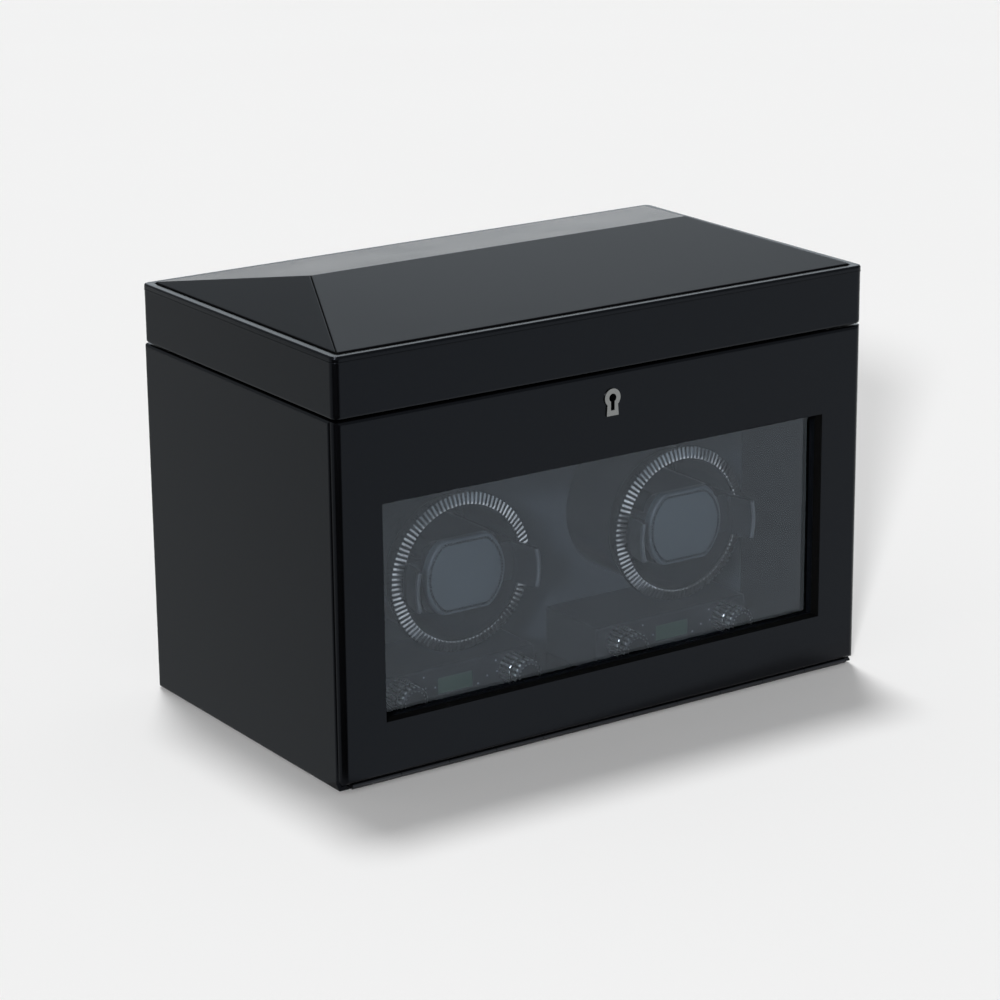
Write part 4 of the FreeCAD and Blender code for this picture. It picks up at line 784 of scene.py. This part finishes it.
rim_fold = tube(lid_loop(0.0, -RIM_FOLD_DROP), UP, RIM_FOLD_RADIUS, sides=8, closed=True)
make_piece("rim_fold", [rim_fold], "lid", "leatherette")
rim_rings = np.array([lid_loop(inset * MM, up * MM) for inset, up in RIM_ROWS])
rim_faces = quads(len(rim_rings), len(rim_rings[0]), wrap_rows=True)
make_piece("rim_band", [(rim_rings, rim_faces)], "lid", "leatherette")

# %% [markdown]
# ## Edge of the window
# The cut edge of the opening in the door lies in shade; a dead-black skin paints that shade, so that the
# pane seems to float behind it. The skin is thin: four rings round the opening, joined into a flat hollow
# section.

# %% Painted shade on the edge of the window
WINDOW_HALF, WINDOW_LOW, WINDOW_TOP = 143 * MM, 34.5 * MM, 152.2 * MM
PAINTED_SHADE_THICKNESS = 0.15 * MM
PAINTED_SHADE_START, PAINTED_SHADE_STOP = 0.2 * MM, 0.05 * MM


def opening_ring(inset, depth):
    """The four corners of the opening, moved in by an inset, at a depth."""
    half, low, top = WINDOW_HALF - inset, WINDOW_LOW + inset, WINDOW_TOP - inset
    return [(half, depth, low), (half, depth, top), (-half, depth, top), (-half, depth, low)]


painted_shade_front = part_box("door_panel")[0].y + PAINTED_SHADE_START
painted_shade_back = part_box("door_glass")[0].y - PAINTED_SHADE_STOP
painted_shade_rings = np.array([opening_ring(inset, depth) for inset, depth in (
    (0.0, painted_shade_front), (PAINTED_SHADE_THICKNESS, painted_shade_front), (PAINTED_SHADE_THICKNESS, painted_shade_back), (0.0, painted_shade_back))])
painted_shade_skin = (painted_shade_rings, quads(4, 4, wrap_rows=True))
# The skin is painted shade, dead black where the edge of the opening lies in shade.
make_piece("window_edge_painted_shade", [painted_shade_skin], "door", "leatherette", black_board)

# %% [markdown]
# ## Cuff pads
# A watch is strapped round the cuff, and the pad faces the glass. The pad is a barrel shape: flat above
# and below, bowed at the sides. A raised border runs round it, then a sewn channel, and inside that the
# foam swells into a low crown. The surface is that outline shrunk towards its middle, ring by ring, with
# a height for each ring; the small thickness is why it is a worked-out form and not a simulated one.

# %% Pad surface
def barrel_outline(width, height, flat, count):
    """A barrel: a straight run of flat above and below, and side arcs through the full width."""
    half_w, half_h, half_flat = width / 2, height / 2, flat / 2
    bulge = half_w - half_flat
    radius = (half_h ** 2 + bulge ** 2) / (2 * bulge)
    sweep = math.asin(half_h / radius)
    arc = np.linspace(-sweep, sweep, count, endpoint=False)
    right = np.stack([half_w - radius + radius * np.cos(arc), radius * np.sin(arc)], -1)
    run = np.linspace(half_flat, -half_flat, count, endpoint=False)
    top = np.stack([run, np.full(count, half_h)], -1)
    return np.concatenate([right, top, -right, -top])


PAD_WIDTH, PAD_HEIGHT, PAD_FLAT = 50.4 * MM, 41.4 * MM, 30 * MM
PAD_POINTS, PAD_SMOOTHING = 36, 2
PAD_ROWS = [
    (1.4, 7.0), (0.25, 6.0), (0.0, 4.6), (0.1, 2.6), (0.35, 1.6), (0.8, 1.1), (1.3, 0.98), (1.75, 1.02),
    (2.1, 1.1), (2.4, 1.13), (2.7, 1.08), (3.05, 0.98), (3.6, 0.86), (4.6, 0.74), (7.0, 0.6), (11.0, 0.5),
    (16.0, 0.43), (19.0, 0.4),
]


def smoothed(loop, reach):
    """A closed loop with its corners rounded: each point becomes the mean of its neighbours."""
    return sum(np.roll(loop, step, axis=0) for step in range(-reach, reach + 1)) / (2 * reach + 1)


def pad_surface(middle, rows):
    """Rings of the barrel, each moved in by an inset along its own width and height and set back."""
    base = smoothed(barrel_outline(PAD_WIDTH, PAD_HEIGHT, PAD_FLAT, PAD_POINTS), PAD_SMOOTHING)
    rings = []
    for inset, back in rows:
        share = np.array([1 - 2 * inset * MM / PAD_WIDTH, 1 - 2 * inset * MM / PAD_HEIGHT])
        flat = base * share
        rings.append(np.column_stack([middle[0] + flat[:, 0], np.full(len(flat), middle[1] + back * MM),
                                      middle[2] + flat[:, 1]]))
    return np.array(rings), capped(len(rings), len(base))


print("a pad has", len(PAD_ROWS), "rings")

# %% [markdown]
# The stitches lie in the channel, one small bead of thread each. One bead is a round section along a
# short line, thinning at both ends; all of them are placed at once along the ring by arrays.

# %% Pads and their stitches
STITCHES = 78
STITCH_INSET, STITCH_BACK = 2.4, 0.98
STITCH_LENGTH, STITCH_RADIUS = 1.2 * MM, 0.68 * MM
STITCH_TAPER = 0.02
FORWARD = np.array([0.0, -1.0, 0.0])


def stitch_beads(path, rings=7, sides=8):
    """Beads along a closed path: radius * sqrt(1 - s^4) round a short line, s from -1 to 1 along it."""
    steps = np.linalg.norm(np.roll(path, -1, axis=0) - path, axis=1)
    run = np.concatenate([[0], np.cumsum(steps)])
    spots = (np.arange(STITCHES) + 0.5) * run[-1] / STITCHES
    loop = np.vstack([path, path[:1]])
    middle, ahead = (np.stack([np.interp(where, run, loop[:, axis]) for axis in range(3)], -1)
                     for where in (spots, (spots + STITCH_LENGTH / 4) % run[-1]))
    along = unit(ahead - middle)
    section = round_section(np.cross(along, FORWARD), FORWARD[None], sides)
    share = np.linspace(-1, 1, rings)[None, :, None, None]
    girth = STITCH_RADIUS * np.sqrt(np.maximum(1 - share ** 4, STITCH_TAPER))
    line = middle[:, None, None] + along[:, None, None] * share * STITCH_LENGTH / 2
    points = line + section[:, None] * girth
    return points, copies(capped(rings, sides), rings * sides, STITCHES)


for side in SIDES:
    middle = front_centre(f"cuff_pad_{side}")
    pad = make_piece(f"stitched_pad_{side}", [pad_surface(middle, PAD_ROWS)], f"rotor_{side}",
                     "pad_leather", stands_for=[f"cuff_pad_{side}"])
    beads = stitch_beads(pad_surface(middle, [(STITCH_INSET, STITCH_BACK)])[0][0])
    make_piece(f"pad_stitches_{side}", [beads], f"rotor_{side}", "pad_leather", dark_thread)

# %% [markdown]
# ## Ears of the cuffs
# Each cuff has two curved ears that a finger pulls. The CAD ears end square; the moulded ones have a
# round front edge that catches the light as a thin line. A half-round bead along the arc gives it; its
# finish is glossier and a little lighter in colour than the ears, and that lighter colour is a painted
# highlight.

# %% Ear edges
EAR_THICKNESS, EAR_HALF, EAR_SINK = 2.5 * MM, 10.6 * MM, 0.2 * MM
EAR_POINTS = 25


def ear_edge(middle, radius, sign):
    """A tube along an arc of the given radius about Y, between plus and minus half the ear's height."""
    sweep = math.asin(EAR_HALF / radius)
    angle = np.linspace(-sweep, sweep, EAR_POINTS)
    path = np.column_stack([middle[0] + sign * radius * np.cos(angle),
                            np.full(EAR_POINTS, middle[1] + EAR_SINK), middle[2] + radius * np.sin(angle)])
    return tube(path, -FORWARD, EAR_THICKNESS / 2, sides=12, closed=False)


for side in SIDES:
    low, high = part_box(f"cuff_frame_{side}")
    middle = front_centre(f"cuff_frame_{side}")
    reach = (high.x - low.x) / 2 - EAR_THICKNESS / 2
    edges = [ear_edge(middle, reach, sign) for sign in SIDES.values()]
    make_piece(f"cuff_ear_edges_{side}", edges, f"rotor_{side}", "black_plastic", glossy_edge_painted_highlight)

# %% [markdown]
# ## Watch cushions
# Three stuffed cushions lie in the tray. Each starts as its CAD solid, a little smaller, remeshed into
# even squares that can stretch as cloth.

# %% Cushion meshes
VOXEL = 4.5 * MM
SHRINK = 0.95


def mesh_points(mesh):
    points = np.zeros(len(mesh.vertices) * 3, np.float32)
    mesh.vertices.foreach_get("co", points)
    return points.reshape(-1, 3)


def stuffed_copy(node, name):
    """A copy of a CAD solid, merged, shrunk about its middle and remeshed into even squares."""
    mesh = nodes[node].data.copy()
    mesh.name = name
    points = mesh_points(mesh)
    low, high = points.min(0), points.max(0)
    middle = (low + high) / 2
    middle[2] = low[2]
    mesh.vertices.foreach_set("co", (middle + (points - middle) * SHRINK).astype(np.float32).ravel())
    merge_points(mesh)
    piece = linked(name, mesh)
    remesh = piece.modifiers.new("squares", "REMESH")
    remesh.mode = "VOXEL"
    remesh.voxel_size = VOXEL
    return piece, low, high


def baked(piece):
    """Replace a piece's mesh with what its modifiers make of it."""
    graph = bpy.context.evaluated_depsgraph_get()
    mesh = bpy.data.meshes.new_from_object(piece.evaluated_get(graph))
    piece.modifiers.clear()
    piece.data = mesh


print("squares of", VOXEL / MM, "mm")

# %% [markdown]
# The stuffing is pressure inside the cloth, which pushes every point outwards for twenty frames. After
# that a point may have moved by no more than a few millimetres and stays inside the box of the CAD solid,
# so the cushion stays in its bay.

# %% Stuffing
SWELL_LIMIT = 4 * MM
FRAMES = 20
PRESSURE, TENSION = 4.0, 25.0


def inflate(piece, low, high):
    """Blow a closed mesh up with cloth pressure, then limit how far each point has moved."""
    before = mesh_points(piece.data)
    cloth = piece.modifiers.new("stuffing", "CLOTH")
    cloth.settings.use_pressure = True
    cloth.settings.uniform_pressure_force = PRESSURE
    cloth.settings.effector_weights.gravity = 0.0
    cloth.settings.tension_stiffness = TENSION
    for number in range(1, FRAMES + 1):
        bpy.context.scene.frame_set(number)
    baked(piece)
    bpy.context.scene.frame_set(1)
    move = mesh_points(piece.data) - before
    length = np.linalg.norm(move, axis=1)[:, None]
    after = before + move * np.minimum(1, SWELL_LIMIT / np.maximum(length, MERGE))
    after = np.clip(after, low, high)
    piece.data.vertices.foreach_set("co", after.astype(np.float32).ravel())
    piece.data.update()


print("stuffed for", FRAMES, "frames")

# %% [markdown]
# The piping follows the cushion that came out of the simulation. In each direction from the middle it
# takes the farthest point of a thin level band, and it evens those out before a tube is carried along.

# %% Cushions and their piping
PIPING_BAND, PIPING_RADIUS, PIPING_POINTS = 4 * MM, 0.9 * MM, 96
PIPING_VIEW, PIPING_SMOOTHING = math.pi / 24, 2


def widest_line(piece, level):
    """The outline of a cushion at a level: the farthest point of a band in each direction, smoothed."""
    points = mesh_points(piece.data)
    points = points[np.abs(points[:, 2] - level) < PIPING_BAND]
    middle = (points.min(0) + points.max(0)) / 2
    away = points[:, :2] - middle[:2]
    angle = np.arctan2(away[:, 1], away[:, 0])
    reach = np.linalg.norm(away, axis=1)
    turns = np.linspace(-math.pi, math.pi, PIPING_POINTS, endpoint=False)
    gap = np.abs((angle[None, :] - turns[:, None] + math.pi) % (2 * math.pi) - math.pi)
    near = np.where(gap < PIPING_VIEW, reach[None, :], 0).max(axis=1)
    near = smoothed(near[:, None], PIPING_SMOOTHING)[:, 0]
    return np.column_stack([middle[0] + near * np.cos(turns), middle[1] + near * np.sin(turns),
                            np.full(PIPING_POINTS, level)])


for number in (1, 2, 3):
    node = f"watch_cushion_{number}"
    cushion, low, high = stuffed_copy(node, f"stuffed_cushion_{number}")
    baked(cushion)
    inflate(cushion, low, high)
    smooth = cushion.modifiers.new("smooth", "SUBSURF")
    smooth.levels = smooth.render_levels = 1
    cushion.data.shade_smooth()
    cushion.data.materials.clear()
    cushion.data.materials.append(finishes["cushion_suede"])
    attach(cushion, "case")
    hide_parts(node)
    line = widest_line(cushion, (low[2] + high[2]) / 2)
    seam = tube(line, UP, PIPING_RADIUS, sides=8, closed=True)
    make_piece(f"cushion_piping_{number}", [seam], "case", "cushion_suede")

# %% [markdown]
# ## Wires
# Two sleeved wires run inside the case, from the socket on the back to the two drives. They are stiff
# enough to stand in a smooth double bend. Each is one curve with four points.

# %% Wires inside the case
inlet_low, inlet_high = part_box("power_inlet")
cover_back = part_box("gearbox_covers")[1].y
lead_level = (inlet_low.z + inlet_high.z) / 2
LEAD_RADIUS, LEAD_START = 1.5 * MM, 2.5 * MM
for side, sign in SIDES.items():
    start_x = sign * LEAD_START
    end_x = centre_of(f"drum_{side}")[0]
    halfway = (inlet_low.y + cover_back) / 2
    route = [(start_x, inlet_low.y), (start_x, halfway), (end_x, halfway), (end_x, cover_back)]
    curve = bpy.data.curves.new(f"inner_lead_{side}", "CURVE")
    curve.dimensions = "3D"
    curve.bevel_depth = LEAD_RADIUS
    curve.bevel_resolution = 4
    curve.use_fill_caps = True
    spline = curve.splines.new("NURBS")
    spline.points.add(len(route) - 1)
    for point, (x, y) in zip(spline.points, route):
        point.co = (x, y, lead_level, 1.0)
    spline.order_u = 3
    spline.use_endpoint_u = True
    spline.resolution_u = 16
    curve.materials.append(finishes["lead_rubber"])
    lead = linked(f"inner_lead_{side}", curve)
    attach(lead, "case")
    if side == "left":
        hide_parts("power_leads")
    length = spline.calc_length()
    print(f"inner_lead_{side}: {length / MM:.1f} mm")

# %% [markdown]
# ## Screws
# The lock and the drive covers are held by small screws with a cross recess. One head is a height over a
# disc: a flat dome, less a dip where a point lies within half a slot of either axis. All the heads of a
# piece are placed at once, facing backwards.

# %% Screw heads
SLOT_HALF, SLOT_SLOPE, CROSS_REACH, CROSS_SLOPE = 0.2, 0.08, 0.62, 0.1
HEAD_DOME, HEAD_DIP, HEAD_RIM, HEAD_FOOT = 0.16, 0.3, 0.1, -0.2


def screw_template(radius, rings=9, sides=32):
    """Points of a head in its own axes, height along the third: dome * (1 - (r/R)^2) less the cross."""
    share = np.linspace(0.02, 1, rings)[:, None]
    across, along = (share * part for part in circle(sides))
    nearest = np.minimum(np.abs(across), np.abs(along))
    slot = np.clip((SLOT_HALF - nearest) / SLOT_SLOPE, 0, 1)
    cross = slot * np.clip((CROSS_REACH - share) / CROSS_SLOPE, 0, 1)
    height = HEAD_DOME * (1 - share ** 2) - HEAD_DIP * cross + HEAD_RIM
    top = np.stack([across, along, height], -1)
    skirt = np.stack([across[-1], along[-1], np.full(sides, HEAD_FOOT)], -1)[None]
    points = np.concatenate([top, skirt]) * radius
    return points.reshape(-1, 3), capped(rings + 1, sides)


def corner_screws(node, level, inset, radius):
    """Heads at the four corners of a node's back, moved in by an inset; a head's height is along +Y."""
    low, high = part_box(node)
    across, upward = (low.x + inset, high.x - inset), (low.z + inset, high.z - inset)
    places = [(x, level, z) for x in across for z in upward]
    points, faces = screw_template(radius)
    heads = np.array(places)[:, None] + points[:, [1, 2, 0]]
    return heads, copies(faces, len(points), len(places))


LOCK_INSET, LOCK_HEAD = 3 * MM, 1.6 * MM
COVER_INSET, COVER_HEAD = 5 * MM, 2.2 * MM
lock_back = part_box("lock_case")[1].y
lock_screws = [corner_screws("lock_case", lock_back, LOCK_INSET, LOCK_HEAD)]
cover_screws = [corner_screws(f"gearbox_{side}", cover_back, COVER_INSET, COVER_HEAD) for side in SIDES]
make_piece("lock_screws", lock_screws, "door", "bright_steel")
make_piece("cover_screws", cover_screws, "case", "bright_steel")

# %% [markdown]
# ## Marks on the controls
# Beside each display are a few tiny printed marks. Plain dots stand for them: low domes, barely proud of
# the fascia, one disc of rings each.

# %% Fascia marks
MARK_OFFSETS = (
    (-12.9, -0.2), (-19.0, 0.5), (-20.1, 6.9), (14.6, -3.7), (20.6, -0.5), (26.9, 0.6), (26.2, 7.0),
)
MARK_RADIUS, MARK_RINGS, MARK_SIDES = 0.55 * MM, 5, 16
MARK_DOME, MARK_PROUD = 0.25, 0.05
pale_mark, mark_wire, mark_shader = new_finish("pale_print", (0.22, 0.23, 0.25), 0.5)
plug(mark_shader, "Roughness", noise(mark_wire, place(mark_wire), 900.0) * 0.3 + 0.35)
share = np.linspace(0.05, 1, MARK_RINGS)[:, None]
across, upward = (share * part for part in circle(MARK_SIDES))
height = MARK_DOME * (1 - share ** 2) + MARK_PROUD + 0 * across
dome = np.stack([across, -height, upward], -1) * MARK_RADIUS
dome_faces = quads(MARK_RINGS, MARK_SIDES).tolist() + [list(range(MARK_SIDES))]
for side in SIDES:
    centre = front_centre(f"control_box_{side}")
    centre[2] = centre_of("displays")[2]
    spots = [centre + np.array([across * MM, 0.0, up * MM]) for across, up in MARK_OFFSETS]
    shells = [(spot + dome, dome_faces) for spot in spots]
    make_piece(f"fascia_marks_{side}", shells, "case", "display", pale_mark)

# %% [markdown]
# ## Table
# The box stands on a plain pale table.

# %% Table
def stage_piece(name, points, faces, paint):
    """A mesh that belongs to the studio and not to the box."""
    mesh = bpy.data.meshes.new(name)
    mesh.from_pydata(points.reshape(-1, 3).tolist(), [], faces.tolist())
    mesh.materials.append(paint)
    piece = linked(name, mesh)
    return piece


FLOOR_HALF, FLOOR_STEPS = 12.0, 9
FLOOR_TONES = (0.9, 0.9, 0.9, 1.0), (0.91, 0.91, 0.91, 1.0)
floor_paint, floor_wire, floor_shader = new_finish("pale_table", FLOOR_TONES[0][:3], 0.9,
                                                   Specular_IOR_Level=0.0)
plug(floor_shader, "Base Color", noise(floor_wire, place(floor_wire), 3.0).mix(*FLOOR_TONES))
ends = np.linspace(-FLOOR_HALF, FLOOR_HALF, FLOOR_STEPS)
grid = np.stack([*np.meshgrid(ends, ends, indexing="xy"), np.zeros((FLOOR_STEPS, FLOOR_STEPS))], -1)
stage_piece("table_top", grid, quads(FLOOR_STEPS, FLOOR_STEPS, wrap_columns=False), floor_paint)
print("table", 2 * FLOOR_HALF, "m across")

# %% [markdown]
# ## Cards
# Three cards lie round the near corner, as they would in a studio: a pale one along the front, a black
# one at the corner and a grey one at the left. The camera doesn't see them and they light nothing. Only
# mirrors see them, so the round corner has something dark to show between its two paler faces. Each is a
# fan between two bearings, given in degrees after its brightness.

# %% Cards that only mirrors see
CARD_NEAR, CARD_FAR, CARD_LEVEL, CARD_STEPS = 0.02, 3.0, 0.4 * MM, 12
CARD_TINT = (0.93, 0.98, 1.0, 1.0)
CARDS = {
    "pale_card": (0.9, -5, -76),
    "black_card": (0.0, -76, -178),
    "grey_card": (0.51, -178, -275),
}
for label, (tone, first_turn, last_turn) in CARDS.items():
    paint = new_finish(label, (0.0, 0.0, 0.0), 1.0, Specular_IOR_Level=0.0,
                       Emission_Color=CARD_TINT, Emission_Strength=tone)[0]
    reach = np.array([CARD_NEAR, CARD_FAR])[:, None]
    turn = np.radians(np.linspace(first_turn, last_turn, CARD_STEPS))[None, :]
    fan = np.stack([cad_low[0] + reach * np.cos(turn), cad_low[1] + reach * np.sin(turn),
                    0 * reach * turn + CARD_LEVEL], -1)
    card = stage_piece(label, fan, quads(2, CARD_STEPS, wrap_columns=False), paint)
    for kind in ("camera", "diffuse", "transmission", "shadow"):
        setattr(card, f"visible_{kind}", False)
print("cards:", ", ".join(CARDS))

# %% [markdown]
# ## Light
# The room is even and white. It is dimmer for the light that it sheds than for what is seen in it, so that
# the shadows keep their depth. Mirrors see a cool grey room with two lamps behind the box: a wide one that
# lifts the front slope of the roof, and a low strip that draws the line along the rim. Two suns give the
# soft shadows: one from beside the camera, one from high behind the box.

# %% Room and suns
bpy.context.scene.view_settings.view_transform = "Standard"
world = bpy.data.worlds.new("white_room")
bpy.context.scene.world = world
world.use_nodes = True
room = Wire(world.node_tree)
camera_ray, glossy, passed = (room.add("ShaderNodeLightPath", out=f"Is {kind} Ray")
                              for kind in ("Camera", "Glossy", "Transmission"))
SEEN_LEVEL, LIT_LEVEL, MIRRORED_LEVEL = 0.89, 0.22, 0.38
COOL_ROOM = (0.86, 0.94, 1.0, 1.0)
LAMPS = {
    "wide_lamp": ((0.7493, 0.6287, 0.2079), 0.78, 0.88, 0.26),
    "low_strip": ((0.5414, 0.8026, 0.2504), 0.976, 0.994, 0.8),
}


def glow(axis, outer, inner):
    """1 for directions near an axis, fading to 0: a smooth step of the cosine between them."""
    along = room.add("ShaderNodeVectorMath", {"operation": "DOT_PRODUCT"},
                     {0: room.add("ShaderNodeTexCoord", out="Generated"), 1: axis}, out="Value")
    return room.add("ShaderNodeMapRange", {"interpolation_type": "SMOOTHSTEP"},
                    {"Value": along, "From Min": outer, "From Max": inner})


wide_lamp, low_strip = (glow(axis, outer, inner) * strength
                        for axis, outer, inner, strength in LAMPS.values())
mirrored = (glossy + passed).above(0.5)
seen = camera_ray * (SEEN_LEVEL - LIT_LEVEL) + LIT_LEVEL
level = seen + mirrored * (wide_lamp + low_strip + (MIRRORED_LEVEL - LIT_LEVEL))
background = world.node_tree.nodes["Background"]
world.node_tree.links.new(level.socket, background.inputs["Strength"])
tone = mirrored.mix((1.0, 1.0, 1.0, 1.0), COOL_ROOM)
world.node_tree.links.new(tone.socket, background.inputs["Color"])
SUNS = {
    "front_sun": (2.35, 5.0, -134.0, 19.5),
    "back_sun": (1.7, 11.0, 70.0, 72.0),
}
for label, (strength, spread, bearing, elevation) in SUNS.items():
    lamp = bpy.data.lights.new(label, "SUN")
    lamp.energy = strength
    lamp.angle = math.radians(spread)
    sun = linked(label, lamp)
    sun.rotation_euler = Euler((math.radians(90 - elevation), 0.0, math.radians(bearing + 90)), "XYZ")
print("room", SEEN_LEVEL, LIT_LEVEL, "and", len(SUNS), "suns")
